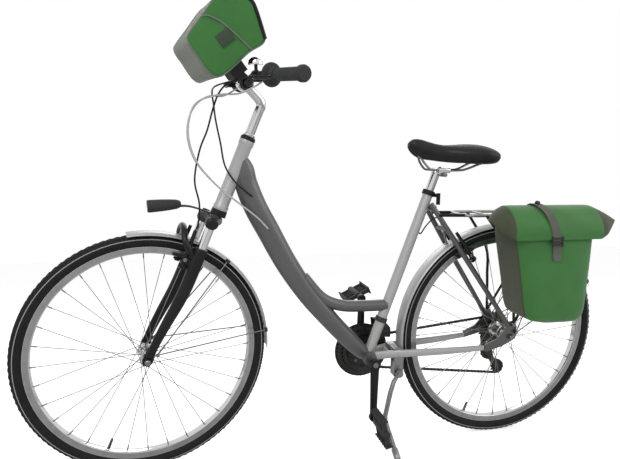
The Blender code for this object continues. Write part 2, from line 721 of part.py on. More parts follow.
def front_derailleur():
    """A band round the seat tube and the cage over the rings."""
    place = BB + SEAT_AXIS * 0.1265
    band = collar(place, SEAT_AXIS, 0.0198, SEAT_TUBE_RADIUS + GAP, 0.0075, 12)
    reach = GUARD_RADIUS + 0.0025
    arc = [(reach * math.cos(a), BB.z + reach * math.sin(a)) for a in
           (math.radians(34 + 13 * k) for k in range(4))]
    outer = arc + [(0.024, 0.404), (0.060, 0.402), (0.088, 0.370), (0.090, 0.350)]
    inner = [(0.026, 0.386), (0.060, 0.340), (0.088, 0.338), (0.090, 0.350), (0.088, 0.370), (0.060, 0.402),
             (0.024, 0.404)]
    parts = [plate(inner, 0.0315, 0.0332), plate(outer, 0.0470, 0.0487),
             block((0.0435, 0.0402, 0.4005), (0.026, 0.0170, 0.005)),
             block((0.0400, 0.0250, 0.4010), (0.018, 0.0150, 0.012)),
             block((0.0845, 0.0402, 0.3600), (0.003, 0.0170, 0.012))]
    body = union(parts[2], parts[0], parts[1], parts[4], parts[3])
    return union(band, body)


# Frame

MAIN_TUBE = [(-0.4000, 0.9150, 0.014, 0.016), (-0.3880, 0.8800, 0.026, 0.0205), (-0.3830, 0.8340, 0.033,
                                                                                 0.022),
             (-0.3560, 0.7670, 0.034, 0.023), (-0.3200, 0.7010, 0.034, 0.023), (-0.2640, 0.6000, 0.033,
                                                                                0.023),
             (-0.1970, 0.5015, 0.0310, 0.023), (-0.1250, 0.4170, 0.0288, 0.023), (-0.0600, 0.3480, 0.0275,
                                                                                  0.023), (-0.0220, 0.3110,
                                                                                           0.0240, 0.022),
             (-0.0030, 0.2945, 0.0170, 0.0200)]
BRACE_TUBE = [(-0.212, 0.556), (-0.165, 0.500), (-0.130, 0.4750), (-0.085, 0.461), (-0.035, 0.457),
              (0.0575, 0.456)]


def front_frame():
    ring, wall = HEAD_TUBE_RADIUS + 0.002, HEAD_TUBE_RADIUS
    low, high = HEAD_TUBE_BOTTOM, HEAD_TUBE_TOP
    head = turned([(0.0, low), (ring, low), (ring, low + 0.012), (wall, low + 0.016), (wall, high - 0.016),
                   (ring, high - 0.012), (ring, high), (0.0, high)], STEER_BASE, STEER_AXIS, 12,
                  closed=False)
    main = sweep([(x, 0.0, z) for x, z, _, _ in MAIN_TUBE], [(d, w) for _, _, d, w in MAIN_TUBE], 10)
    brace = sweep([(x, 0.0, z) for x, z in BRACE_TUBE], BRACE_TUBE_RADIUS, 8)
    seat = rod(BB, SEAT_TOP, SEAT_TUBE_RADIUS, 12)
    shell = rod(BB - AXIS_Y * BB_SHELL_HALF_WIDTH, BB + AXIS_Y * BB_SHELL_HALF_WIDTH, BB_SHELL_RADIUS, 12)
    body = union(main, head, brace, seat, shell)
    bores = [drill(on_steerer(low - 0.02), on_steerer(high + 0.02), STEERER_RADIUS + RUNNING),
             drill(SEAT_TOP - SEAT_AXIS * (SEATPOST_INSERTION + 0.035), SEAT_TOP + SEAT_AXIS * 0.02,
                   SEATPOST_RADIUS + GAP),
             drill(BB - AXIS_Y * 0.05, BB + AXIS_Y * 0.05, SPINDLE_RADIUS + RUNNING)]
    return cut(body, *bores)


def chainstays():
    deep, wide = CHAINSTAY_DEPTH / 2, CHAINSTAY_WIDTH / 2
    stays = []
    for side in (-1, 1):
        path = [(0.012, 0.0235, 0.3000), (0.055, 0.0285, 0.3035), (0.085, 0.0355, 0.3060), (0.110, 0.0420,
                                                                                            0.3080),
                (0.250, 0.0540, 0.3105), (0.3700, 0.0650, 0.3160)]
        stays.append(sweep([(x, side * y, z) for x, y, z in path],
                           [(deep, wide)] * 3 + [(deep * 0.95, wide), (deep * 0.85, wide * 0.9), (0.0085,
                                                                                                  0.0055)],
                           8))
    bridge = rod((0.0640, -0.030, 0.3050), (0.0640, 0.030, 0.3050), 0.0080, 8)
    saddle = rod(BB - AXIS_Y * 0.08, BB + AXIS_Y * 0.08, BB_SHELL_RADIUS + GAP * 1.05, 12)
    trimmed = cut(union(stays[0], bridge, stays[1]), saddle)
    return cut(trimmed, rod(BB - SEAT_AXIS * 0.02, BB + SEAT_AXIS * 0.1, SEAT_TUBE_RADIUS + GAP * 1.05, 12))


DROPOUT = [(0.3720, 0.3050), (0.4300, 0.3190), (0.4520, 0.3300), (0.4760, 0.3420), (0.4830, 0.3580),
           (0.4790, 0.3850), (0.4680, 0.4020), (0.4480, 0.3990), (0.4380, 0.3720), (0.4140, 0.3460),
           (0.3720, 0.3290)]
HANGER = [(0.4480, 0.3300), (0.4550, 0.3060), (0.4700, 0.3060), (0.4760, 0.3450)]


def seatstays():
    """Both stays with their dropouts, bridge and brake studs."""
    stays, extras = [], []
    for side in (-1, 1):
        path = [(0.1830, side * 0.0265, 0.7770), (0.2910, side * 0.0480, 0.6180), (0.4500, side * 0.0690,
                                                                                   0.3890)]
        stays.append(sweep(path, [0.0080, SEATSTAY_RADIUS, 0.0075], 8))
        y = REAR_DROPOUT_SPACING / 2
        low, high = sorted((side * y, side * (y + DROPOUT_THICKNESS)))
        extras.append(plate(DROPOUT, low, high))
        if side > 0:
            extras.append(plate(HANGER, low, high))
        foot = REAR_BRAKE.point(REAR_BRAKE.boss, REAR_BRAKE.plane - 0.016, side * BOSS_SIDE)
        tip = REAR_BRAKE.point(REAR_BRAKE.boss, REAR_BRAKE.plane + 0.018, side * BOSS_SIDE)
        extras.append(rod(foot, tip, 0.0050, 6))
    bridge = rod((0.2372, -0.036, 0.6975), (0.2372, 0.036, 0.6975), 0.0075, 8)
    lug = sweep([(0.1930, -0.030, 0.7630), (0.1930, 0.030, 0.7630)], (0.0080, 0.0100), 10, SEAT_AXIS)
    body = union(stays[0], bridge, lug, stays[1], *extras)
    bolt = REAR_HUB
    slot = [drill(bolt - AXIS_Y * 0.09, bolt + AXIS_Y * 0.09, AXLE_RADIUS + GAP, 10),
            block(bolt + Vector((-0.004, 0.0, -0.020)), (0.0106, 0.18, 0.040))]
    hole = rod(Vector((0.4625, 0.060, 0.3170)), Vector((0.4625, 0.080, 0.3170)), 0.0045, 8)
    seat = rod(BB + SEAT_AXIS * 0.3, BB + SEAT_AXIS * 0.6, SEAT_TUBE_RADIUS + GAP * 1.05, 12)
    return cut(body, *slot, hole, seat)


class BrakeLayout:
    """Where a rim brake sits: up runs from the hub along the fork or stay, out away from it."""

    def __init__(self, hub_centre, up, out, plane):
        self.hub, self.up, self.out, self.plane = hub_centre, up, out, plane
        self.boss = RIM_PAD_RADIUS - BOSS_DROP

    def point(self, along, forward, side):
        return self.hub + self.up * along + self.out * forward + AXIS_Y * side


FRONT_BRAKE = BrakeLayout(FRONT_HUB, STEER_AXIS, STEER_FRONT, 0.0)
STAY_WAY = Vector((-0.570, 0.0, 0.8217)).normalized()
REAR_BRAKE = BrakeLayout(REAR_HUB, STAY_WAY, Vector((STAY_WAY.z, 0.0, -STAY_WAY.x)), 0.0270)


def brake_arm(layout, side):
    """A direct-pull brake arm with its pad, turning on its stud."""
    low, high = layout.plane + 0.0005, layout.plane + 0.0140
    middle = (low + high) / 2
    boss = layout.boss
    centre = layout.point(boss, low, side * BOSS_SIDE)
    bore = clear(0.0050 + GAP, 10)
    ring = turned([(0.0090, 0.0), (0.0090, high - low), (bore, high - low), (bore, 0.0)], centre, layout.out,
                  10)
    places = [(boss + 0.006, 0.0475), (boss + 0.030, 0.0495), (boss + 0.062, 0.0475), (boss + ARM_LENGTH,
                                                                                       0.0405)]
    arm = sweep([layout.point(a, middle, side * y) for a, y in places],
                [(0.0055, 0.0075), (0.0050, 0.0070), (0.0045, 0.0060), (0.0040, 0.0050)], 6, layout.out)
    contact = RIM_HALF_WIDTH + PAD_GAP
    pad_along = math.sqrt(RIM_PAD_RADIUS ** 2 - middle ** 2)
    radial = layout.point(pad_along, middle, 0.0) - layout.hub
    tangent_way = radial.cross(AXIS_Y).normalized()
    pad_middle = layout.hub + radial + AXIS_Y * side * (contact + 0.0042)
    pad = block(pad_middle, (0.060, 0.0084, 0.0076), tangent_way, radial.normalized())
    post = rod(layout.hub + radial + AXIS_Y * side * (contact + 0.006),
               layout.hub + radial + AXIS_Y * side * 0.0520, 0.0036, 6)
    cutter = drill(layout.point(boss, low - 0.02, side * BOSS_SIDE), layout.point(boss, high + 0.02,
                                                                                  side * BOSS_SIDE),
                   0.0050 + GAP)
    return union(ring, cut(arm, cutter), post, pad)


# Steering

def crown(extra=0.0):
    """The fork's crown as a bar from leg to leg; extra grows it, for use as a cutter."""
    half = [(0.078, 0.022, 0.4220, 0.0130, 0.0110), (0.074, 0.022, 0.4225, 0.0165, 0.0160),
            (0.058, 0.022, 0.4235, 0.0185, 0.0185), (0.030, 0.012, 0.4290, 0.0195, 0.0175)]
    stations = [(-y, *rest) for y, *rest in half] + [(0.000, 0.004, 0.4310, 0.0225, 0.0180)] + half[::-1]
    path = [on_steerer(along, forward, y) for y, forward, along, _, _ in stations]
    return sweep(path, [(deep + extra, tall + extra) for _, _, _, deep, tall in stations], 8, STEER_AXIS)


def fork_upper():
    """Steerer, lower bearing ring, crown and the two stanchions."""
    steerer = rod(on_steerer(CROWN_TOP - 0.02), on_steerer(STEM_FOOT - GAP), STEERER_RADIUS, 10)
    race = turned([(0.0, CROWN_TOP - 0.006), (0.0235, CROWN_TOP - 0.006), (0.0225,
                                                                           HEAD_TUBE_BOTTOM - RUNNING),
                   (0.0, HEAD_TUBE_BOTTOM - RUNNING)], STEER_BASE, STEER_AXIS, 12, closed=False)
    legs = [rod(on_steerer(STANCHION_BOTTOM, STANCHION_OFFSET, side * STANCHION_Y),
                on_steerer(0.430, STANCHION_OFFSET, side * STANCHION_Y), STANCHION_RADIUS,
                10) for side in (-1, 1)]
    caps = [rod(on_steerer(0.430, STANCHION_OFFSET, side * STANCHION_Y),
                on_steerer(0.4465, STANCHION_OFFSET, side * STANCHION_Y), 0.0125, 8, 0.0105) for side in (-1,
                                                                                                          1)]
    return union(crown(), race, steerer, *legs, *caps)


def fork_lowers():
    """Two legs bored for the stanchions, joined by an arch, with dropouts and brake studs."""
    legs, extras, cuts = [], [], []
    for side in (-1, 1):
        y = side * STANCHION_Y
        places = [(LOWERS_TOP, 0.022, 0.0180, 0.0170), (0.250, 0.022, 0.0178, 0.0166), (0.190, 0.026, 0.0166,
                                                                                        0.0152),
                  (0.120, 0.036, 0.0145, 0.0128), (0.060, 0.0430, 0.0125, 0.0092), (0.018, 0.0450, 0.0110,
                                                                                    0.0084)]
        legs.append(sweep([on_steerer(a, f, y) for a, f, _, _ in places], [(d, w) for _, _, d, w in places],
                          8))
        inner = FRONT_DROPOUT_SPACING / 2
        low, high = sorted((side * inner, side * (inner + DROPOUT_THICKNESS)))
        extras.append(plate([(-0.009, -0.014), (0.009, -0.014), (0.015, 0.000), (0.012, 0.040), (-0.012,
                                                                                                 0.040),
                             (-0.015, 0.000)], low, high, -STEER_FRONT, STEER_AXIS, FRONT_HUB))
        eye = on_steerer(0.030, 0.028, side * 0.0550)
        extras.append(rod(eye, eye + AXIS_Y * side * 0.0100, 0.0060, 6))
        extras.append(rod(on_steerer(0.034, 0.040, side * 0.0600), on_steerer(0.030, 0.028, side * 0.0600),
                          0.0050, 6))
        extras.append(rod(FRONT_BRAKE.point(FRONT_BRAKE.boss, -0.012, side * BOSS_SIDE),
                          FRONT_BRAKE.point(FRONT_BRAKE.boss, 0.0180, side * BOSS_SIDE), 0.0050, 6))
        cuts.append(drill(on_steerer(STANCHION_BOTTOM - FORK_TRAVEL - 0.004, STANCHION_OFFSET, y),
                          on_steerer(LOWERS_TOP + 0.02, STANCHION_OFFSET, y), STANCHION_RADIUS + RUNNING))
    half = [(0.0610, 0.316, 0.030), (0.0615, 0.333, 0.053), (0.0560, 0.352, 0.071), (0.0330, 0.375, 0.079)]
    arch_path = [on_steerer(a, f, -y) for y, a, f in half] + [on_steerer(0.385, 0.081, 0.0)]
    arch_path += [on_steerer(a, f, y) for y, a, f in reversed(half)]
    arch = sweep(arch_path, (0.0085, 0.0085), 6, STEER_FRONT)
    slot = [drill(FRONT_HUB - AXIS_Y * 0.07, FRONT_HUB + AXIS_Y * 0.07, AXLE_RADIUS + GAP, 10),
            block(FRONT_HUB - STEER_AXIS * 0.015, (0.0106, 0.114, 0.030), -STEER_FRONT, STEER_AXIS)]
    return cut(union(legs[0], arch, legs[1], *extras), *cuts, *slot)


BAR_CENTRE = Vector((-0.391, 0.0, 1.1145))
BAR_END = Vector((-0.3225, 0.2935, 1.1270))
BAR_INNER = Vector((-0.3795, 0.1060, 1.1312))
GRIP_WAY = (BAR_END - BAR_INNER).normalized()


def on_bar(side, distance):
    """A point on the straight outer part of the bar, by its distance in from the bar's end."""
    place = BAR_END - GRIP_WAY * distance
    return Vector((place.x, side * place.y, place.z))


def bar_way(side):
    return Vector((GRIP_WAY.x, side * GRIP_WAY.y, GRIP_WAY.z))


def stem():
    """A quill stem: a post on the head set, an elbow and a clamp round the bar."""
    path = [on_steerer(STEM_FOOT), on_steerer(STEM_FOOT + 0.005), on_steerer(STEM_FOOT + 0.006),
            on_steerer(0.740), on_steerer(0.764), Vector((-0.3420, 0.0, 1.0560)),
            Vector((-0.3445, 0.0, 1.0700)), Vector((-0.3590, 0.0, 1.0860)), BAR_CENTRE + Vector((0.012, 0.0,
                                                                                                 -0.010))]
    post = sweep(path, [0.0172, 0.0172, 0.0138, 0.0138, 0.0138, (0.0145, 0.0140), (0.0145, 0.0140), (0.0140,
                                                                                                     0.0140),
                        0.0140], 8)
    clamp = rod(BAR_CENTRE - AXIS_Y * 0.019, BAR_CENTRE + AXIS_Y * 0.019, 0.0200, 12)
    bore = drill(BAR_CENTRE - AXIS_Y * 0.05, BAR_CENTRE + AXIS_Y * 0.05, BAR_RADIUS + GAP)
    return cut(union(post, clamp), bore)


def handlebar():
    half = [(BAR_END, GRIP_BAR_RADIUS), (on_bar(1, 0.10), GRIP_BAR_RADIUS), (BAR_INNER, GRIP_BAR_RADIUS),
            (Vector((-0.3865, 0.0840, 1.1290)), 0.0112), (Vector((-0.3902, 0.0640, 1.1215)), 0.0115),
            (Vector((-0.3910, 0.0490, 1.1155)), 0.0122), (BAR_CENTRE + AXIS_Y * 0.040, BAR_RADIUS)]
    left = [(Vector((p.x, -p.y, p.z)), r) for p, r in half]
    stations = left + list(reversed(half))
    return sweep([p for p, _ in stations], [r for _, r in stations], 8, Vector((0.0, 0.0, 1.0)))


def grip(side):
    """A ribbed rubber sleeve with a wide flange at its closed outer end."""
    bore = clear(GRIP_BAR_RADIUS + GAP, 12)
    profile = [(0.0, -0.0015), (bore, -0.0015), (bore, 0.1080)]
    profile += [(GRIP_RADIUS - 0.0014 * (k % 2), 0.0130 + 0.0310 * k) for k in range(3, -1, -1)]
    profile += [(0.0205, 0.0105), (0.0208, 0.0010), (0.0180, -0.0050), (0.0, -0.0060)]
    return turned(profile, on_bar(side, 0.0), -bar_way(side), 12, closed=False)


def shifter(side):
    """The turning part of a twist shifter: a wide flange and a ribbed sleeve on the bar."""
    bore = clear(GRIP_BAR_RADIUS + RUNNING, 12)
    profile = [(bore, 0.1095), (0.0185, 0.1095), (0.0185, 0.1290), (0.0290, 0.1320), (0.0310, 0.1360),
               (0.0290, 0.1400), (0.0220, 0.1440), (bore, 0.1440)]
    return turned(profile, on_bar(side, 0.0), -bar_way(side), 12)


LEVER_MOUNT = 0.1560
LEVER_OUT = 0.030


def lever_pivot(side):
    return on_bar(side, LEVER_MOUNT) + Vector((-LEVER_OUT, 0.0, -0.010))


def lever_mount(side):
    """A clamp round the bar with two cheeks that hold the brake lever's pin."""
    place = on_bar(side, LEVER_MOUNT)
    pivot = lever_pivot(side)
    ring = rod(place - bar_way(side) * 0.0085, place + bar_way(side) * 0.0085, 0.0165, 9)
    web = block(place.lerp(pivot, 0.50), (0.0180, 0.0150, 0.0200))
    cheeks = [block(pivot + Vector((0.003, 0.0, way * 0.0072)), (0.0210, 0.0150, 0.0028)) for way in (-1, 1)]
    pin = rod(pivot - Vector((0, 0, 0.0080)), pivot + Vector((0, 0, 0.0080)), 0.0024, 6)
    slot = rod(pivot - Vector((0, 0, 0.0058)), pivot + Vector((0, 0, 0.0058)), 0.0096, 8)
    body = cut(union(ring, web, *cheeks), slot)
    bore = drill(place - bar_way(side) * 0.03, place + bar_way(side) * 0.03, GRIP_BAR_RADIUS + GAP)
    return cut(union(body, pin), bore)


def brake_lever(side):
    """A finger lever that turns on its pin towards the grip."""
    pivot = lever_pivot(side)
    boss = rod(pivot - Vector((0, 0, 0.0054)), pivot + Vector((0, 0, 0.0054)), 0.0065, 10)
    way = bar_way(side)
    ahead = Vector((-1.0, 0.0, 0.0))
    path = [pivot + ahead * 0.001, pivot + way * 0.022 + ahead * 0.016, pivot + way * 0.055 + ahead * 0.019,
            pivot + way * 0.088 + ahead * 0.017, pivot + way * 0.100 + ahead * 0.021]
    arm = sweep(path, [(0.0045, 0.0045), (0.0050, 0.0048), (0.0042, 0.0050), (0.0042, 0.0052), (0.0030,
                                                                                                0.0040)],
                8, Vector((0, 0, 1)))
    bore = drill(pivot - Vector((0, 0, 0.02)), pivot + Vector((0, 0, 0.02)), 0.0024 + RUNNING, 8)
    return cut(union(boss, arm), bore)


def bell():
    """A domed bell on a post with a band round the bar."""
    place = Vector((-0.3830, -0.0945, 1.1302))
    way = (BAR_INNER - Vector((-0.3865, 0.0840, 1.1290))).normalized()
    way = Vector((way.x, -way.y, way.z))
    band = collar(place, way, 0.0155, 0.0118, 0.0040, 12)
    top = Vector((-0.3850, -0.0955, 1.1600))
    post = rod(place + Vector((-0.0006, 0.0, 0.0135)), top + Vector((0, 0, 0.003)), 0.0045, 6)
    profile = [(0.0, -0.002), (0.0190, -0.002), (0.0205, 0.001), (0.0190, 0.0090), (0.0125, 0.0160), (0.0,
                                                                                                      0.0190)]
    dome = turned(profile, top, Vector((0, 0, 1)), 12, closed=False)
    return union(band, post, dome)


def headset_upper():
    low = HEAD_TUBE_TOP + GAP
    inner = clear(STEERER_RADIUS + RUNNING, 12)
    return turned([(inner, low), (0.0218, low), (0.0218, low + 0.008), (0.0180, low + HEADSET_HEIGHT),
                   (inner, low + HEADSET_HEIGHT)],
                  STEER_BASE, STEER_AXIS, 12)


def headlight():
    """A torpedo lamp on a bracket from the fork's crown."""
    centre = Vector((-0.6140, 0.0, 0.7790))
    way = Vector((-0.998, 0.0, -0.055)).normalized()
    profile = [(0.0, -0.0460), (0.0090, -0.0440), (0.0135, -0.0330), (0.0165, 0.0060), (0.0175, 0.0380),
               (0.0165, 0.0450), (0.0140, 0.0450), (0.0120, 0.0415), (0.0, 0.0415)]
    lamp = turned(profile, centre, way, 12, closed=False)
    root = on_steerer(0.4420, 0.0232)
    path = [root, on_steerer(0.4440, 0.0480), on_steerer(0.4400, 0.0900), centre + Vector((0.018, 0.0,
                                                                                           -0.004))]
    arm = sweep(path, [(0.0025, 0.0100), (0.0025, 0.0090), (0.0030, 0.0085), (0.0040, 0.0085)], 6)
    bolt = rod(root, on_steerer(0.4430, 0.0330), 0.0055, 6)
    body = union(lamp, arm, bolt)
    return cut(body, crown(0.0004), drill(on_steerer(0.43), on_steerer(0.47), 0.0238))


# Mudguards and rack

def guard_band(centre, start, end, steps):
    """A curved mudguard blade between two angles about its wheel, measured back from straight behind."""
    half = MUDGUARD_WIDTH / 2
    r, t = MUDGUARD_RADIUS, MUDGUARD_THICKNESS
    shape = [(-half, -0.0060), (-0.5 * half, -0.0004), (0.5 * half, -0.0004), (half, -0.0060)]
    outline = [(r + t + d, y) for y, d in shape] + [(r + d - 0.0002 * abs(y) / half, y) for y,
                                                    d in reversed(shape)]
    bm = bmesh.new()
    way = Vector((math.cos(start), 0.0, math.sin(start)))
    face = bm.faces.new([bm.verts.new(centre + way * a + AXIS_Y * y) for a, y in outline])
    bmesh.ops.spin(bm, geom=[face] + face.verts[:] + face.edges[:], cent=centre, axis=(0, -1, 0),
                   angle=end - start, steps=steps, use_duplicate=False)
    return mesh_from(bm)


def around(centre, degrees, radius, side=0.0):
    angle = math.radians(degrees)
    return centre + Vector((radius * math.cos(angle), side, radius * math.sin(angle)))


def mudguard(centre, start, end, steps, stay_angles, foot, face_y, wire_y):
    """A blade with wire stays to the dropouts."""
    band = guard_band(centre, math.radians(start), math.radians(end), steps)
    parts = []
    for degrees in stay_angles:
        for side in (-1, 1):
            clip = around(centre, degrees, MUDGUARD_RADIUS - 0.0045, side * MUDGUARD_WIDTH / 2)
            begin = Vector((foot[0], side * wire_y, foot[1]))
            parts.append(rod(begin, clip.lerp(begin, -0.004), 0.0020, 4))
            parts.append(block(clip, (0.0140, 0.0060, 0.0100), (math.sin(math.radians(degrees)), 0.0,
                         -math.cos(math.radians(degrees))), (math.cos(math.radians(degrees)), 0.0,
                         math.sin(math.radians(degrees)))))
    joiners = [rod((foot[0], side * face_y, foot[1]), (foot[0], side * (wire_y + 0.0030), foot[1]),
                   0.0055, 6) for side in (-1, 1)]
    return union(band, *parts, *joiners)


def front_mudguard():
    foot = on_steerer(0.030, 0.028)
    body = mudguard(FRONT_HUB, 97.0, -2.0, 10, (49.0, 7.5), (foot.x, foot.z), 0.0655, 0.0675)
    bolt = rod(around(FRONT_HUB, 73.5, MUDGUARD_RADIUS - 0.0008), around(FRONT_HUB, 73.5, 0.3772), 0.0045, 6)
    return union(body, bolt)


def rear_mudguard():
    body = mudguard(REAR_HUB, 187.0, 24.0, 15, (62.0, 27.0), (0.4745, 0.3655), 0.0739, 0.0810)
    bolt = rod((0.2572, 0.0, 0.6440), (0.2427, 0.0, 0.6895), 0.0040, 8)
    return union(body, bolt)


def rack():
    """A wire carrier: two rails, cross bars, legs to the dropouts and struts to the seat stays."""
    z, w, r = RACK_HEIGHT, RACK_HALF_WIDTH, RACK_ROD_RADIUS
    half = [(0.7020, 0.0120), (0.6980, 0.0420), (0.6780, w), (0.3120, w), (0.2900, 0.0420), (0.2860, 0.0)]
    path = [(x, -y, z) for x, y in half] + [(x, y, z) for x, y in reversed(half[:-1])]
    rails = sweep(path, r, 6, Vector((0, 0, 1)))
    joint = rod((0.7022, -0.0160, z), (0.7022, 0.0160, z), 0.0062, 6)
    bars = [rod((x, -w, z), (x, w, z), 0.0035, 4) for x in (0.370, 0.450, 0.530, 0.610)]
    legs = []
    for side in (-1, 1):
        foot = (0.4640, side * 0.0795, 0.3920)
        legs.append(sweep([foot, (0.4560, side * 0.0775, 0.5200), (0.4420, side * 0.0735, 0.6200),
                           (0.3560, side * 0.0600, z)], 0.0046, 5))
        legs.append(sweep([(0.4630, side * 0.0793, 0.3930), (0.6400, side * 0.0620, 0.7150), (0.6560,
                                                                                              side * w, z)],
                          0.0043, 5))
        legs.append(rod((0.4640, side * 0.0740, 0.3920), (0.4640, side * 0.0845, 0.3920), 0.0075, 6))
        legs.append(sweep([(0.2950, side * 0.0450, z), (0.2060, side * 0.0420, 0.7430)], (0.0050, 0.0022),
                          6))
    return union(rails, joint, *bars, *legs)


# Seat

def seatpost():
    """A set-back post with the clamp that holds the saddle's rails."""
    foot = SEAT_TOP - SEAT_AXIS * SEATPOST_INSERTION
    top = BB + SEAT_AXIS * (SADDLE_CLAMP_HEIGHT - 0.008)
    post = rod(foot, top, SEATPOST_RADIUS, 12)
    clamp = Vector((0.2240, 0.0, 0.8790))
    neck = sweep([BB + SEAT_AXIS * (SADDLE_CLAMP_HEIGHT - 0.035), top, clamp - Vector((0.001, 0.0, 0.003))],
                 [(0.0110, 0.0110), (0.0130, 0.0130), (0.0150, 0.0170)], 8)
    cheeks = block(clamp, (0.0400, 0.0580, 0.0160))
    bolt = rod(clamp + Vector((0.0, -0.0330, -0.0125)), clamp + Vector((0.0, 0.0330, -0.0125)), 0.0070, 8)
    body = union(post, neck, cheeks, bolt)
    for side in (-1, 1):
        channel = drill((0.150, side * 0.0220, 0.8800), (0.300, side * 0.0220, 0.8800), 0.0035 + GAP, 8)
        body = cut(body, channel)
    return body


def saddle_rails():
    half = [(0.3450, 0.0340, 0.9030), (0.3300, 0.0320, 0.8980), (0.2960, 0.0250, 0.8840), (0.2700, 0.0220,
                                                                                           0.8800),
            (0.1950, 0.0220, 0.8800), (0.1750, 0.0205, 0.8850), (0.1560, 0.0140, 0.9070), (0.1500, 0.0060,
                                                                                           0.9215)]
    path = [(x, -y, z) for x, y, z in half] + [(x, y, z) for x, y, z in reversed(half)]
    return sweep(path, 0.0035, 6, Vector((0, 0, 1)))


SADDLE = [(0.1130, 0.9630, 0.9460, 0.0100), (0.1270, 0.9730, 0.9320, 0.0200),
          (0.1500, 0.9730, 0.9180, 0.0240), (0.1750, 0.9670, 0.9120, 0.0270), (0.2050, 0.9600, 0.9090,
                                                                               0.0330),
          (0.2350, 0.9570, 0.9060, 0.0450), (0.2700, 0.9585, 0.9037, 0.0670), (0.3050, 0.9610, 0.9015,
                                                                               0.0840),
          (0.3450, 0.9595, 0.9010, 0.0940), (0.3800, 0.9510, 0.9040, 0.0890),
          (0.3950, 0.9420, 0.9120, 0.0760), (0.4020, 0.9320, 0.9200, 0.0560)]
SADDLE_SHAPE = [(1.00, 0.00), (0.97, 0.34), (0.82, 0.64), (0.50, 0.88), (0.05, 1.00), (-0.60, 0.97), (-1.00,
                                                                                                      0.80),
                (-0.92, 0.45), (-0.72, 0.30), (-0.70, 0.00)]


def saddle():
    """A padded saddle: crowned across, dipped in the middle, with a short hollow under it."""
    section = SADDLE_SHAPE + [(a, -b) for a, b in reversed(SADDLE_SHAPE[1:-1])]
    path = [(x, 0.0, (top + bottom) / 2) for x, top, bottom, _ in SADDLE]
    sizes = [((top - bottom) / 2, wide) for _, top, bottom, wide in SADDLE]
    bm = bmesh.new()
    rings = []
    for (x, _, z), (tall, wide) in zip(path, sizes):
        rings.append([bm.verts.new((x, wide * b, z + tall * a)) for a, b in section])
    bm.faces.new(rings[0])
    bm.faces.new(rings[-1])
    for first, second in zip(rings, rings[1:]):
        for k in range(len(section)):
            j = (k + 1) % len(section)
            bm.faces.new((first[k], first[j], second[j], second[k]))
    return mesh_from(bm)


def seat_clamp():
    place = SEAT_TOP - SEAT_AXIS * 0.0085
    band = collar(place, SEAT_AXIS, 0.0200, SEAT_TUBE_RADIUS + GAP, 0.0075, 12)
    back = place + Vector((0.0215, 0.0, -0.0075))
    nut = rod(back - AXIS_Y * 0.0215, back + AXIS_Y * 0.0150, 0.0060, 8)
    lever = block(back + Vector((0.002, -0.0215, -0.010)), (0.0120, 0.0050, 0.0360))
    body = union(nut, lever)
    return union(band, cut(body, drill(place - SEAT_AXIS * 0.04, place + SEAT_AXIS * 0.04,
                                       SEAT_TUBE_RADIUS + GAP)))


# Bags

def soft_box(bm_mesh, width, segments=2):
    """Round the edges of a closed mesh."""
    bm = bmesh.new()
    bm.from_mesh(bm_mesh)
    edges = [e for e in bm.edges if e.calc_face_angle(0.0) > math.radians(12)]
    bmesh.ops.bevel(bm, geom=edges, offset=width, segments=segments, profile=0.5, affect="EDGES",
                    material=-1)
    return mesh_from(bm)


BAG_SIDE = [(-0.4930, 1.1170), (-0.5480, 1.1740), (-0.5660, 1.2030), (-0.5600, 1.2220), (-0.5300, 1.2640),
            (-0.4930, 1.3160), (-0.4720, 1.3290), (-0.4450, 1.3290), (-0.4080, 1.3120), (-0.3920, 1.2880),
            (-0.3670, 1.2200), (-0.4110, 1.1830)]
BAG_HALF_WIDTH = 0.125
BAG_BACK_LOW = Vector((-0.4930, 0.0, 1.1170))
BAG_UP = Vector((0.7790, 0.0, 0.6270))
BAG_IN = Vector((-0.6270, 0.0, 0.7790))


def handlebar_bag():
    return soft_box(plate(BAG_SIDE, -BAG_HALF_WIDTH, BAG_HALF_WIDTH), 0.0075, 1)


def bag_bracket():
    """A block behind the bag with two clamps round the bar."""
    def at(up_way, in_way, side=0.0):
        return BAG_BACK_LOW + BAG_UP * up_way + BAG_IN * in_way + AXIS_Y * side
    reach = BAR_CENTRE - BAG_BACK_LOW
    level, depth = reach.dot(BAG_UP), reach.dot(BAG_IN)
    body = block(at(level, -0.0190), (0.0440, 0.0800, 0.0370), BAG_UP, BAG_IN)
    parts = []
    for side in (-1, 1):
        parts.append(block(at(level, (depth - 0.03) / 2, side * 0.0310), (0.0220, 0.0110, -depth - 0.030),
                           BAG_UP, BAG_IN))
        parts.append(rod(BAR_CENTRE + AXIS_Y * side * 0.0255, BAR_CENTRE + AXIS_Y * side * 0.0365, 0.0180,
                         10))
    bore = drill(BAR_CENTRE - AXIS_Y * 0.06, BAR_CENTRE + AXIS_Y * 0.06, BAR_RADIUS + GAP)
    return cut(union(body, *parts), bore)


PANNIER = [(0.5300, 0.4370, 0.0600, 0.0520), (0.5080, 0.4500, 0.0880, 0.0640), (0.5000, 0.4800, 0.1000,
                                                                                0.0670),
           (0.4930, 0.5600, 0.1090, 0.0680), (0.4850, 0.6400, 0.1190, 0.0685), (0.4800, 0.7000, 0.1290,
                                                                                0.0670),
           (0.4850, 0.7350, 0.1420, 0.0520), (0.4950, 0.7560, 0.1620, 0.0300)]
PANNIER_Y = -0.1590
SQUARE = [(1.0, 0.55), (0.90, 0.90), (0.55, 1.0), (-0.55, 1.0), (-0.90, 0.90), (-1.0, 0.55),
          (-1.0, -0.55), (-0.90, -0.90), (-0.55, -1.0), (0.55, -1.0), (0.90, -0.90), (1.0, -0.55)]


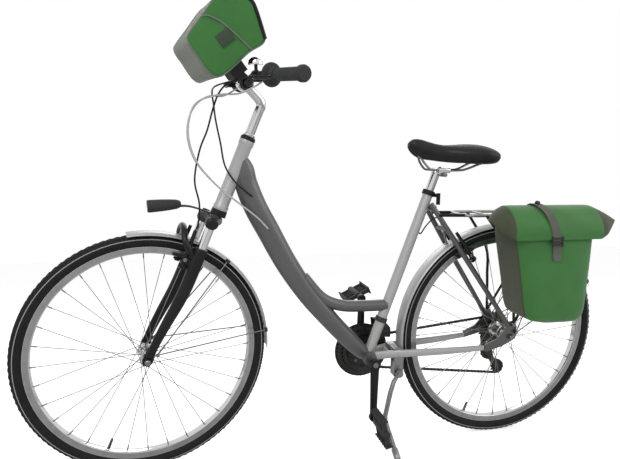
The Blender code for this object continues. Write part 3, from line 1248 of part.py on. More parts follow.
def pannier():
    """A roll-top bag: a soft box that narrows upwards into a roll."""
    bm = bmesh.new()
    rings = []
    for x, z, long, deep in PANNIER:
        rings.append([bm.verts.new((x + long * a, PANNIER_Y + deep * b, z)) for a, b in SQUARE])
    bm.faces.new(rings[0])
    bm.faces.new(rings[-1])
    for first, second in zip(rings, rings[1:]):
        for k in range(len(SQUARE)):
            j = (k + 1) % len(SQUARE)
            bm.faces.new((first[k], first[j], second[j], second[k]))
    body = mesh_from(bm)
    roll = sweep([(0.3120, PANNIER_Y, 0.7560), (0.3250, PANNIER_Y, 0.7610), (0.3900, PANNIER_Y, 0.7660),
                  (0.6100, PANNIER_Y, 0.7645), (0.6850, PANNIER_Y, 0.7560), (0.7000, PANNIER_Y, 0.7480)],
                 [(0.0120, 0.0160), (0.0185, 0.0250), (0.0190, 0.0270), (0.0190, 0.0270),
                  (0.0180, 0.0240), (0.0110, 0.0150)], 10)
    return union(body, roll)


def pannier_hooks():
    """A back plate with two hooks over the rack's rail."""
    back = block((0.4850, -0.0872, 0.7180), (0.1500, 0.0040, 0.0680))
    parts = []
    inner = RACK_HALF_WIDTH - RACK_ROD_RADIUS - GAP
    for x in (0.4230, 0.5630):
        parts.append(block((x, -(0.0880 + inner - 0.004) / 2, 0.7503), (0.0240, 0.0880 - inner + 0.004,
                                                                        0.0050)))
        parts.append(block((x, -(inner - 0.002), 0.7450), (0.0240, 0.0040, 0.0156)))
    return union(back, *parts)


# Stand

STAND_PIVOT = Vector((0.0930, -0.0340, 0.2430))


def kickstand_bracket():
    """Clamp plates above and below the chain stays, and the block that carries the leg."""
    stay = Vector((0.0865, 0.0, 0.3061))
    along = Vector((0.0550, 0.0, 0.0045)).normalized()
    lift = Vector((-along.z, 0.0, along.x))
    flat = CHAINSTAY_DEPTH / 2 * math.cos(math.pi / 8) + GAP
    top = block(stay + lift * (flat + 0.0025), (0.0230, 0.0760, 0.0050), along, lift)
    bottom = block(stay + along * 0.0040 - lift * (flat + 0.0050), (0.0340, 0.0760, 0.0100), along, lift)
    post = rod((0.0880, 0.0, 0.2750), (0.0880, 0.0, 0.3240), 0.0055, 8)
    body = block((0.0950, -0.0170, 0.2590), (0.0300, 0.0330, 0.0560))
    pin = rod(STAND_PIVOT + AXIS_Y * 0.010, STAND_PIVOT - AXIS_Y * 0.0155, 0.0055, 10)
    head = rod(STAND_PIVOT - AXIS_Y * 0.0150, STAND_PIVOT - AXIS_Y * 0.0185, 0.0085, 10)
    return union(body, bottom, post, top, pin, head)


def kickstand_leg(foot):
    """A bent leg with a ring on the bracket's pin and a rubber foot."""
    ring = rod(STAND_PIVOT - AXIS_Y * 0.0004, STAND_PIVOT - AXIS_Y * 0.0145, 0.0125, 12)
    path = [(0.0855, -0.0413, 0.2325), (0.0740, -0.0455, 0.2180), (0.0620, -0.0505, 0.1850),
            (0.0470, -0.0530, 0.1120), (0.0455, -0.0590, 0.0970), (foot.x, foot.y, foot.z)]
    leg = sweep(path, [0.0062, 0.0070, 0.0076, 0.0074, 0.0074, 0.0070], 8, Vector((1, 0, 0)))
    heel = [(0.0, -0.0088), (0.0050, -0.0080), (0.0088, -0.0050), (STAND_FOOT_RADIUS, 0.0), (0.0105, 0.0140),
            (0.0100, 0.0280), (0.0, 0.0280)]
    way = (Vector(path[-2]) - Vector(path[-1])).normalized()
    tip = turned(heel, foot, way, 8, closed=False)
    bore = drill(STAND_PIVOT + AXIS_Y * 0.02, STAND_PIVOT - AXIS_Y * 0.02, 0.0055 + RUNNING, 10)
    return cut(union(ring, leg, tip), bore)


def lowest(piece_object):
    """The height of the lowest corner of a mesh piece in the world."""
    place = piece_object.matrix_world
    return min((place @ v.co).z for v in piece_object.data.vertices)


def refresh():
    bpy.context.view_layer.update()


def stand_up(bike, steering, wheels):
    """Lean the bike onto its stand, turn its fork, and let both tyres down onto the floor."""
    steering.rotation_mode = "QUATERNION"
    steering.rotation_quaternion = Quaternion(STEER_AXIS, STEER_TURN)
    pitch = 0.0
    for _ in range(6):
        bike.matrix_world = Matrix.Rotation(LEAN, 4, "X") @ Matrix.Rotation(pitch, 4, "Y")
        refresh()
        front, rear = (lowest(w) for w in wheels)
        pitch += (rear - front) / WHEELBASE
    bike.matrix_world = Matrix.Translation((0.0, 0.0, -(front + rear) / 2)) @ bike.matrix_world
    refresh()


def centre_on_floor(bike):
    """Shift the bike so that the middle of its box's underside is the origin."""
    graph = bpy.context.evaluated_depsgraph_get()
    corners = []
    for item in bpy.data.objects:
        if item.type != "EMPTY":
            solid = item.evaluated_get(graph).to_mesh()
            corners += [item.matrix_world @ v.co for v in solid.vertices]
    middle = [(min(c[k] for c in corners) + max(c[k] for c in corners)) / 2 for k in range(2)]
    floor = min(c.z for c in corners)
    bike.matrix_world = Matrix.Translation((-middle[0], -middle[1], -floor)) @ bike.matrix_world
    refresh()


def build_frame(bike):
    piece("front_frame", front_frame(), bike, BB, "frame_grey")
    piece("chainstays", chainstays(), bike, BB, "silver_paint")
    piece("seatstays", seatstays(), bike, SEAT_TOP, "silver_paint")
    piece("seat_clamp", seat_clamp(), bike, SEAT_TOP, "black_plastic")
    piece("headset_upper", headset_upper(), bike, on_steerer(HEAD_TUBE_TOP), "fork_black")
    piece("rear_axle", axle(REAR_HUB, REAR_DROPOUT_SPACING, (REAR_HUB_ENDS[0], FREEHUB_ENDS[1])), bike,
          REAR_HUB, "dull_steel")
    piece("front_derailleur", front_derailleur(), bike, BB, "dull_steel")
    piece("rear_derailleur", rear_derailleur(), bike, REAR_HUB, "dull_steel")
    piece("chain", chain(), bike, BB, "chain_steel")
    piece("rear_mudguard", rear_mudguard(), bike, REAR_HUB, "bright_alloy")
    piece("rack", rack(), bike, REAR_HUB, "bright_alloy")
    piece("pannier", pannier(), bike, REAR_HUB, "bag_green")
    piece("pannier_hooks", pannier_hooks(), bike, REAR_HUB, "black_plastic")
    piece("kickstand_bracket", kickstand_bracket(), bike, STAND_PIVOT, "dull_steel")


def build_moving(bike):
    """The saddle, cranks, pedals, wheels and the small turning parts of the frame."""
    piece("seatpost", seatpost(), bike, SEAT_TOP, "bright_alloy")
    piece("saddle_rails", saddle_rails(), bike, SEAT_TOP, "dull_steel")
    piece("saddle", saddle(), bike, SEAT_TOP, "saddle_black")
    piece("crank_left", crank_left(), bike, BB, "fork_black")
    piece("crank_right", crank_right(), bike, BB, "fork_black")
    piece("chainrings", chainrings(), bike, BB, "dull_steel")
    piece("chain_guard", chain_guard(), bike, BB, "black_plastic")
    for side, way, tilt in ((-1, -1, PEDAL_LEFT_TILT), (1, 1, PEDAL_RIGHT_TILT)):
        name = "pedal_left" if side < 0 else "pedal_right"
        centre = BB + Vector((0.0, side * PEDAL_SIDE, way * CRANK_LENGTH))
        piece(name, pedal(side, way, tilt), bike, centre, "black_plastic")
    piece("cassette", cassette(), bike, REAR_HUB, "dull_steel")
    for name, pulley in (("tension_pulley", PULLEYS[1]), ("guide_pulley", PULLEYS[2])):
        piece(name, jockey(pulley[:2], pulley), bike, (pulley[0], CHAIN_Y, pulley[1]), "black_plastic")
    for side, name in ((-1, "rear_brake_left"), (1, "rear_brake_right")):
        origin = REAR_BRAKE.point(REAR_BRAKE.boss, REAR_BRAKE.plane, side * BOSS_SIDE)
        piece(name, brake_arm(REAR_BRAKE, side), bike, origin, "bright_alloy")
    piece("rear_hub", hub(REAR_HUB, REAR_FLANGE_Y, REAR_FLANGE_RADIUS, REAR_HUB_ENDS, 0.0150),
          bike, REAR_HUB, "bright_alloy")
    piece("rear_rim", rim(REAR_HUB), bike, REAR_HUB, "bright_alloy")
    return piece("rear_tyre", tyre(REAR_HUB), bike, REAR_HUB, "tyre_black")


def build_steering(steering):
    piece("fork_upper", fork_upper(), steering, on_steerer(HEAD_TUBE_BOTTOM), "fork_black")
    piece("stem", stem(), steering, on_steerer(HEAD_TUBE_TOP), "bright_alloy")
    piece("handlebar", handlebar(), steering, BAR_CENTRE, "fork_black")
    piece("bell", bell(), steering, BAR_CENTRE, "bright_alloy")
    piece("bag_bracket", bag_bracket(), steering, BAR_CENTRE, "black_plastic")
    piece("handlebar_bag", handlebar_bag(), steering, BAG_BACK_LOW, "bag_green")
    piece("headlight", headlight(), steering, on_steerer(CROWN_TOP), "lamp_black")
    for side, name in ((-1, "left"), (1, "right")):
        piece("grip_" + name, grip(side), steering, on_bar(side, 0.0), "grip_grey")
        piece("shifter_" + name, shifter(side), steering, on_bar(side, 0.13), "black_plastic")
        piece("lever_mount_" + name, lever_mount(side), steering, on_bar(side, LEVER_MOUNT), "black_plastic")
        piece("brake_lever_" + name, brake_lever(side), steering, lever_pivot(side), "black_plastic")
        origin = FRONT_BRAKE.point(FRONT_BRAKE.boss, 0.0, side * BOSS_SIDE)
        piece("front_brake_" + name, brake_arm(FRONT_BRAKE, side), steering, origin, "bright_alloy")
    piece("fork_lowers", fork_lowers(), steering, on_steerer(LOWERS_TOP), "fork_black")
    piece("front_mudguard", front_mudguard(), steering, FRONT_HUB, "bright_alloy")
    piece("front_axle", axle(FRONT_HUB, FRONT_DROPOUT_SPACING, FRONT_HUB_ENDS), steering, FRONT_HUB,
          "dull_steel")
    piece("front_hub", hub(FRONT_HUB, FRONT_FLANGE_Y, FRONT_FLANGE_RADIUS, FRONT_HUB_ENDS, 0.0125), steering,
          FRONT_HUB, "bright_alloy")
    piece("front_rim", rim(FRONT_HUB), steering, FRONT_HUB, "bright_alloy")
    return piece("front_tyre", tyre(FRONT_HUB), steering, FRONT_HUB, "tyre_black")


def lever_side(side):
    """The first two points of a brake housing, square to the inner face of its lever's mount."""
    place = on_bar(side, LEVER_MOUNT) + Vector((-0.0190, -side * (0.0075 + GAP), -0.0010))
    return tuple(place), tuple(place - AXIS_Y * side * 0.008)


def shifter_side(side):
    """The first two points of a gear housing, square to the clamp beside its twist shifter."""
    place = on_bar(side, LEVER_MOUNT + 0.0085 + 2.5 * GAP) - Vector((0.0, 0.0, 0.0141))
    return tuple(place), tuple(place - bar_way(side) * 0.009)


def build_cables(bike, steering):
    turned_bar = Matrix.Translation(STEER_BASE) @ Matrix.Rotation(STEER_TURN, 4,
                                                                  STEER_AXIS) @ Matrix.Translation(
        -STEER_BASE)
    for side, name in ((-1, "shift_cable_front"), (1, "shift_cable_rear")):
        start = [*shifter_side(side), (-0.3920, side * 0.1150, 1.1020), (-0.4300, side * 0.0950, 1.0830),
                 (-0.4800, side * 0.0690, 1.0780)]
        start = [tuple(turned_bar @ Vector(p)) for p in start]
        rest = [(-0.5230, side * 0.056, 1.0550), (-0.5430, side * 0.052, 1.0100), (-0.5440, side * 0.050,
                                                                                   0.9550),
                (-0.5210, side * 0.046, 0.8930), (-0.4640, side * 0.040, 0.8280), (-0.4130, side * 0.034,
                                                                                   0.7870),
                (-0.3560, side * 0.0266, 0.7420), (-0.3238, side * 0.0259, 0.7080)]
        cable(name, start + rest, 13, 0.0025, bike, "cable_pale")
    upper = [*lever_side(1), (-0.4130, 0.1180, 1.1240), (-0.4560, 0.0880, 1.1080), (-0.4720, 0.0450, 1.0880)]
    down = [(-0.4740, 0.0080, 1.0580), (-0.4700, -0.0080, 1.0150), (-0.4580, -0.0220, 0.9500),
            (-0.4460, -0.0320, 0.8860), (-0.4130, -0.0310, 0.8370), (-0.3701, -0.0253, 0.8020)]
    cable("rear_brake_cable_front", [tuple(turned_bar @ Vector(p)) for p in upper] + down, 11, 0.0025, bike,
          "cable_black")
    seat_side = BB + SEAT_AXIS * 0.4232 + SEAT_BACK * (SEAT_TUBE_RADIUS + 2.5 * GAP)
    arm_top = REAR_BRAKE.point(REAR_BRAKE.boss + ARM_LENGTH + 2.5 * GAP, REAR_BRAKE.plane + 0.007, 0.0405)
    cable("rear_brake_cable_rear", [tuple(seat_side), tuple(seat_side + SEAT_BACK * 0.008), (0.1850, 0.0040,
                                                                                             0.7060),
                                    (0.2150, 0.0160, 0.7260),
                                    (0.2400, 0.0320, 0.7240), tuple(arm_top + STAY_WAY * 0.018),
                                    tuple(arm_top)],
          9, 0.0022, bike, "cable_black")
    front_top = FRONT_BRAKE.point(FRONT_BRAKE.boss + ARM_LENGTH + 2.5 * GAP, 0.007, -0.0405)
    noodle = front_top + STEER_AXIS * 0.022 + STEER_FRONT * 0.001
    cable("front_brake_cable", [*lever_side(-1), (-0.4130, -0.1180, 1.1240), (-0.4560, -0.0900, 1.1080),
                                (-0.4720, -0.0500, 1.0850),
                                (-0.4820, -0.0200, 1.0450), (-0.4970, -0.0120, 0.9850), (-0.5180, -0.0120,
                                                                                         0.9300),
                                (-0.5330, -0.0180, 0.8500), (-0.5230, -0.0320, 0.7850), tuple(noodle),
                                tuple(front_top)],
          12, 0.0025, steering, "cable_black")


def main():
    clear_scene()
    bike = empty("bike")
    bpy.context.collection.objects.link(bike)
    steering = attach(empty("steering", STEER_BASE), bike)
    build_frame(bike)
    rear_tyre = build_moving(bike)
    front_tyre = build_steering(steering)
    build_cables(bike, steering)
    stand_up(bike, steering, (front_tyre, rear_tyre))
    place = bike.matrix_world
    foot = Vector((0.0490, -0.1550, 0.0))
    foot.z = (STAND_FOOT_RADIUS - (place @ foot).z) / (place @ Vector((0, 0, 1)) - place @ Vector((0, 0,
                                                                                                   0))).z
    piece("kickstand_leg", kickstand_leg(foot), bike, STAND_PIVOT, "dull_steel")
    refresh()
    centre_on_floor(bike)


main()
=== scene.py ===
"""The looks of a step-through trekking bike: its tubes, wheels, drive, cockpit, saddle and bags."""

import json
import math

import bmesh
import bpy
from bpy.props import FloatProperty, FloatVectorProperty, PointerProperty
from mathutils import Matrix, Quaternion, Vector

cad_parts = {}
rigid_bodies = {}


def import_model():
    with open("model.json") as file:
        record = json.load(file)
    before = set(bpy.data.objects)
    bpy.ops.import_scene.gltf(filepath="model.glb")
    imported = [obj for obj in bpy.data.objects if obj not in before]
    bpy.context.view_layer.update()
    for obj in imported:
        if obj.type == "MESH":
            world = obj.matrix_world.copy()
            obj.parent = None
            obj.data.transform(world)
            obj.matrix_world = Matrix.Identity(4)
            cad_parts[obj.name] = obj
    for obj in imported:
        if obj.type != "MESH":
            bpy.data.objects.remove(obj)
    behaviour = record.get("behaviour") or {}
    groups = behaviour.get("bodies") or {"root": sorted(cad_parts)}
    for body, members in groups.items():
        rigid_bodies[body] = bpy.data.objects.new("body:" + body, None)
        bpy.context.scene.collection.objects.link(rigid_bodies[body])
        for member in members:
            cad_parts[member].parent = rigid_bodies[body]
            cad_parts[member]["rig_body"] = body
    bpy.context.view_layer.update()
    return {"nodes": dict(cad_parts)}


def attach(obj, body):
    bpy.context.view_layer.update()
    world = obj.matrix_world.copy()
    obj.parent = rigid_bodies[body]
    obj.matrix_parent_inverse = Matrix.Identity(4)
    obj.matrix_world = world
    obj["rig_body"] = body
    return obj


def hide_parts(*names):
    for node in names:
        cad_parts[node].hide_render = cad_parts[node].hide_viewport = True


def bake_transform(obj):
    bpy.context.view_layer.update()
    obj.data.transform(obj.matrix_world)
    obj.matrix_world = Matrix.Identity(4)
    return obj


bl_info = {
    "name": "Step-through trekking bike",
    "version": (1, 0, 0),
    "blender": (4, 5, 0),
    "location": "3D View > Sidebar > Bike",
    "description": "Builds the looks of a trekking bike round its packed solids",
    "category": "Add Mesh",
}

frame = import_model()

AXIS_X = Vector((1.0, 0.0, 0.0))
AXIS_Y = Vector((0.0, 1.0, 0.0))
AXIS_Z = Vector((0.0, 0.0, 1.0))

# The two sides, as the sign of y and as words
HANDS = ((-1, "left"), (1, "right"))

# Layout in the bike's own upright frame, in metres: x runs back, y to the right, z up
LEAN = math.radians(7.0)
NOSE_DOWN = -0.00051045
REAR_HUB = Vector((0.458919, 0.0, 0.35))
WHEELBASE = 1.1317
BB = Vector((0.0, 0.0, 0.2916))
HEAD_ANGLE = math.radians(68.2)
STEER_TURN = math.radians(8.0)
FORK_RAKE = 0.045
SEAT_ANGLE = math.radians(70.3)

FRONT_HUB = REAR_HUB - AXIS_X * WHEELBASE


def in_plane(angle):
    """The unit vector at an angle in the plane of the wheels, turned from straight back towards up."""
    return Vector((math.cos(angle), 0.0, math.sin(angle)))


STEER_AXIS = in_plane(HEAD_ANGLE)
STEER_FRONT = Vector((-math.sin(HEAD_ANGLE), 0.0, math.cos(HEAD_ANGLE)))
STEER_BASE = FRONT_HUB - STEER_FRONT * FORK_RAKE
SEAT_AXIS = in_plane(SEAT_ANGLE)
SEAT_BACK = Vector((math.sin(SEAT_ANGLE), 0.0, -math.cos(SEAT_ANGLE)))


def bike_place():
    """Where the leaning bike stands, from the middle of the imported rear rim."""
    turn = Matrix.Rotation(LEAN, 4, "X") @ Matrix.Rotation(NOSE_DOWN, 4, "Y")
    back = turn.inverted()
    corners = [back @ v.co for v in frame["nodes"]["rear_rim"].data.vertices]
    middle = Vector([(min(c[k] for c in corners) + max(c[k] for c in corners)) / 2 for k in range(3)])
    return turn @ Matrix.Translation(middle - REAR_HUB)


BIKE = bike_place()
STEERED = (BIKE @ Matrix.Translation(STEER_BASE) @ Matrix.Rotation(STEER_TURN, 4, STEER_AXIS)
           @ Matrix.Translation(-STEER_BASE))
PLACES = {"bike": BIKE, "steered": STEERED, "world": Matrix.Identity(4)}


def on_steerer(along, forward=0.0, side=0.0):
    """A point given by its distance along the steering axis, forward of it, and to the right."""
    return STEER_BASE + STEER_AXIS * along + STEER_FRONT * forward + AXIS_Y * side


class BikeSizes(bpy.types.PropertyGroup):
    """Sizes of the visible details that a user may change."""
    knob_height: FloatProperty(name="Tread height", description="How far the tread knobs stand up",
                               default=0.0009, min=0.0, max=0.004, unit="LENGTH")
    spoke_width: FloatProperty(name="Spoke width", description="Thickness of one spoke",
                               default=0.002, min=0.001, max=0.003, unit="LENGTH")
    housing_width: FloatProperty(name="Cable width", description="Thickness of the cable housings",
                                 default=0.005, min=0.003, max=0.007, unit="LENGTH")
    strap_width: FloatProperty(name="Strap width", description="Width of the pannier's strap",
                               default=0.026, min=0.015, max=0.04, unit="LENGTH")
    piping_width: FloatProperty(name="Piping width", description="Thickness of the bags' piping",
                                default=0.0036, min=0.002, max=0.006, unit="LENGTH")


def colour_property(label, text, value):
    return FloatVectorProperty(name=label, description=text, subtype="COLOR", size=3,
                               min=0.0, max=1.0, default=value)


class BikeColours(bpy.types.PropertyGroup):
    """Colours of the paint, the rubber and the cloth."""
    frame: colour_property("Frame", "Dark satin paint of the main tube", (0.122, 0.124, 0.121))
    silver: colour_property("Silver", "Silver paint of the stays and seat tube", (0.275, 0.278, 0.275))
    black: colour_property("Black", "Painted black metal", (0.012, 0.012, 0.013))
    bag: colour_property("Bag", "Coated cloth of the bags", (0.06, 0.235, 0.052))
    olive: colour_property("Trim", "Darker cloth of the bags", (0.085, 0.098, 0.055))
    webbing: colour_property("Webbing", "Straps and buckles", (0.15, 0.165, 0.135))
    saddle: colour_property("Saddle", "Saddle cover", (0.012, 0.012, 0.013))
    tyre: colour_property("Tyre", "Tyre rubber", (0.013, 0.013, 0.013))


# Materials

def new_group(name, inputs, outputs):
    tree = bpy.data.node_groups.new(name, "ShaderNodeTree")
    for label, kind, value in inputs:
        tree.interface.new_socket(label, in_out="INPUT", socket_type=kind).default_value = value
    for label, kind in outputs:
        tree.interface.new_socket(label, in_out="OUTPUT", socket_type=kind)
    return tree, tree.nodes.new("NodeGroupInput"), tree.nodes.new("NodeGroupOutput")


def add_node(tree, kind, inputs=(), **settings):
    """A shader node with its settings, and each input given a value or another node's output."""
    made = tree.nodes.new("ShaderNode" + kind)
    for key, value in settings.items():
        setattr(made, key, value)
    for key, value in dict(inputs).items():
        if isinstance(value, bpy.types.NodeSocket):
            tree.links.new(value, made.inputs[key])
        else:
            made.inputs[key].default_value = value
    return made


COLOUR, NUMBER, POINT = "NodeSocketColor", "NodeSocketFloat", "NodeSocketVector"


def mottle_group():
    """Patches of a second colour, uneven gloss and a fine grain."""
    tree, given, out = new_group(
        "mottle", [("Colour", COLOUR, (0.5, 0.5, 0.5, 1.0)), ("Mark Colour", COLOUR, (0.4, 0.4, 0.4, 1.0)),
                   ("Patch Scale", NUMBER, 14.0), ("Amount", NUMBER, 0.5), ("Gloss Low", NUMBER, 0.3),
                   ("Gloss High", NUMBER, 0.5), ("Grain Scale", NUMBER, 900.0),
                   ("Vector", POINT, (0.0, 0.0, 0.0))],
        [("Colour", COLOUR), ("Roughness", NUMBER), ("Height", NUMBER)])
    where = given.outputs["Vector"]
    patches = add_node(tree, "TexNoise", {"Vector": where, "Scale": given.outputs["Patch Scale"],
                                          "Detail": 5.0, "Roughness": 0.6})
    mask = add_node(tree, "MapRange", {"Value": patches.outputs["Fac"], "From Min": 0.38, "From Max": 0.68,
                                       "To Min": 0.0, "To Max": given.outputs["Amount"]})
    grain = add_node(tree, "TexNoise", {"Vector": where, "Scale": given.outputs["Grain Scale"],
                                        "Detail": 2.0})
    mixed = add_node(tree, "Mix", {0: mask.outputs[0], 6: given.outputs["Colour"],
                                   7: given.outputs["Mark Colour"]}, data_type="RGBA")
    gloss = add_node(tree, "MapRange", {"Value": patches.outputs["Fac"], "From Min": 0.3, "From Max": 0.7,
                                        "To Min": given.outputs["Gloss Low"],
                                        "To Max": given.outputs["Gloss High"]})
    tree.links.new(mixed.outputs[2], out.inputs["Colour"])
    tree.links.new(gloss.outputs[0], out.inputs["Roughness"])
    tree.links.new(grain.outputs["Fac"], out.inputs["Height"])
    return tree


def weave_group():
    """Two crossed sets of threads, as a height and as a darker mask between them."""
    tree, given, out = new_group("weave", [("Vector", POINT, (0.0, 0.0, 0.0)), ("Threads", NUMBER, 300.0)],
                                 [("Height", NUMBER), ("Shade", NUMBER)])
    waves = [add_node(tree, "TexWave", {"Vector": given.outputs["Vector"], "Scale": given.outputs["Threads"],
                                        "Distortion": 0.4, "Detail": 1.0},
                      bands_direction=way) for way in ("X", "Y")]
    height = add_node(tree, "Math", {0: waves[0].outputs["Fac"], 1: waves[1].outputs["Fac"]},
                      operation="MULTIPLY")
    shade = add_node(tree, "MapRange", {"Value": height.outputs[0], "To Min": 0.82, "To Max": 1.0})
    tree.links.new(height.outputs[0], out.inputs["Height"])
    tree.links.new(shade.outputs[0], out.inputs["Shade"])
    return tree


def brushed_group():
    """Fine parallel scratches, by stretching a noise along two of its axes."""
    tree, given, out = new_group(
        "brushed", [("Vector", POINT, (0.0, 0.0, 0.0)), ("Stretch", POINT, (1.0, 1.0, 1.0))],
        [("Height", NUMBER)])
    stretched = add_node(tree, "VectorMath", {0: given.outputs["Vector"], 1: given.outputs["Stretch"]},
                         operation="MULTIPLY")
    lines = add_node(tree, "TexNoise", {"Vector": stretched.outputs[0], "Scale": 1.0, "Detail": 3.0})
    tree.links.new(lines.outputs["Fac"], out.inputs["Height"])
    return tree


def shared_group(name, build):
    return bpy.data.node_groups.get(name) or build()


# Each finish: its colour or colour property, its patches' colour as a share of that, the range of its
# roughness, metal, coat, the scales of patches and grain, the strength of its bump, and its kind
FINISHES = {
    "frame_paint": ("frame", 0.9, (0.34, 0.46), 0.55, 0.25, 9, 2600, 0.04, "plain"),
    "silver_paint": ("silver", 0.9, (0.32, 0.44), 0.45, 0.25, 9, 2600, 0.04, "plain"),
    "black_paint": ("black", 1.6, (0.28, 0.44), 0.0, 0.08, 14, 2200, 0.05, "plain"),
    "bright_alloy": ((0.44, 0.44, 0.435), 0.84, (0.24, 0.38), 1.0, 0.0, 24, 1400, 0.05, "brushed"),
    "satin_alloy": ((0.29, 0.29, 0.287), 0.86, (0.34, 0.48), 1.0, 0.0, 20, 1400, 0.05, "brushed"),
    "machined_band": ((0.36, 0.36, 0.358), 0.78, (0.26, 0.42), 1.0, 0.0, 40, 3200, 0.1, "brushed"),
    "steel": ((0.24, 0.24, 0.238), 0.75, (0.26, 0.42), 1.0, 0.0, 26, 1800, 0.06, "plain"),
    "dark_steel": ((0.07, 0.068, 0.066), 0.6, (0.3, 0.48), 1.0, 0.0, 60, 2200, 0.1, "plain"),
    "chrome": ((0.7, 0.7, 0.7), 0.92, (0.05, 0.12), 1.0, 0.0, 12, 600, 0.01, "plain"),
    "black_plastic": ((0.013, 0.013, 0.014), 1.7, (0.42, 0.56), 0.0, 0.0, 30, 2600, 0.14, "plain"),
    "smoke_plastic": ((0.03, 0.03, 0.031), 1.5, (0.18, 0.3), 0.0, 0.0, 18, 900, 0.03, "plain"),
    "rubber_grip": ((0.07, 0.072, 0.072), 0.8, (0.62, 0.78), 0.0, 0.0, 40, 2400, 0.2, "plain"),
    "brake_rubber": ((0.028, 0.027, 0.026), 1.5, (0.66, 0.8), 0.0, 0.0, 60, 2000, 0.2, "plain"),
    "tyre_rubber": ("tyre", 1.9, (0.62, 0.8), 0.0, 0.0, 36, 2200, 0.2, "plain"),
    "stripe": ((0.4, 0.41, 0.41), 0.86, (0.4, 0.52), 0.0, 0.0, 50, 2600, 0.05, "plain"),
    "saddle_cover": ("saddle", 1.7, (0.38, 0.52), 0.0, 0.1, 34, 1500, 0.28, "plain"),
    "saddle_base": ((0.014, 0.014, 0.014), 1.6, (0.5, 0.62), 0.0, 0.0, 30, 2400, 0.12, "plain"),
    "bag_cloth": ("bag", 0.8, (0.4, 0.55), 0.0, 0.08, 8, 1500, 0.3, "cloth"),
    "pale_cloth": ((0.17, 0.205, 0.14), 0.84, (0.5, 0.64), 0.0, 0.0, 10, 1500, 0.3, "cloth"),
    "trim_cloth": ("olive", 0.82, (0.58, 0.72), 0.0, 0.0, 10, 1500, 0.45, "cloth"),
    "webbing": ("webbing", 0.84, (0.6, 0.74), 0.0, 0.0, 18, 1500, 0.55, "cloth"),
    "piping": ((0.21, 0.22, 0.205), 0.86, (0.42, 0.55), 0.0, 0.0, 22, 1500, 0.1, "plain"),
    "bare_patch": ((0.06, 0.085, 0.055), 0.86, (0.5, 0.62), 0.0, 0.0, 22, 1500, 0.2, "plain"),
    "pale_housing": ((0.56, 0.57, 0.56), 0.92, (0.3, 0.42), 0.0, 0.05, 60, 1800, 0.03, "plain"),
    "black_housing": ((0.012, 0.012, 0.012), 1.6, (0.32, 0.45), 0.0, 0.05, 60, 1800, 0.03, "plain"),
    "amber": ((0.62, 0.16, 0.01), 0.8, (0.12, 0.22), 0.0, 0.3, 90, 1200, 0.15, "plain"),
    "reflector_bowl": ((0.72, 0.72, 0.72), 0.94, (0.06, 0.14), 1.0, 0.0, 40, 700, 0.1, "plain"),
}
STRETCHES = {"bright_alloy": (60.0, 900.0, 60.0), "satin_alloy": (60.0, 700.0, 60.0),
             "machined_band": (40.0, 2400.0, 40.0)}
PATCH_AMOUNT = 0.8
BUMP_DEPTH = 0.001
PLAIN_SPECULAR = 0.16
CLOTH_THREADS = 180.0
CLOTH_SHEEN = 0.25
CLOTH_SHEEN_SPREAD = 0.5


def lens_glass():
    """Clear ribbed plastic in front of the lamp's bowl."""
    made = bpy.data.materials.new("lamp_glass")
    made.use_nodes = True
    tree = made.node_tree
    shader = tree.nodes["Principled BSDF"]
    for key, value in (("Roughness", 0.06), ("Transmission Weight", 0.9), ("IOR", 1.49)):
        shader.inputs[key].default_value = value
    where = add_node(tree, "TexCoord")
    ribs = add_node(tree, "TexWave", {"Vector": where.outputs["Object"], "Scale": 120.0},
                    bands_direction="Y")
    tint = add_node(tree, "Mix", {0: ribs.outputs["Fac"], 6: (0.92, 0.93, 0.94, 1.0),
                                  7: (0.8, 0.82, 0.84, 1.0)}, data_type="RGBA")
    bump = add_node(tree, "Bump", {"Strength": 0.2, "Distance": BUMP_DEPTH, "Height": ribs.outputs["Fac"]})
    tree.links.new(tint.outputs[2], shader.inputs["Base Color"])
    tree.links.new(bump.outputs["Normal"], shader.inputs["Normal"])
    return made


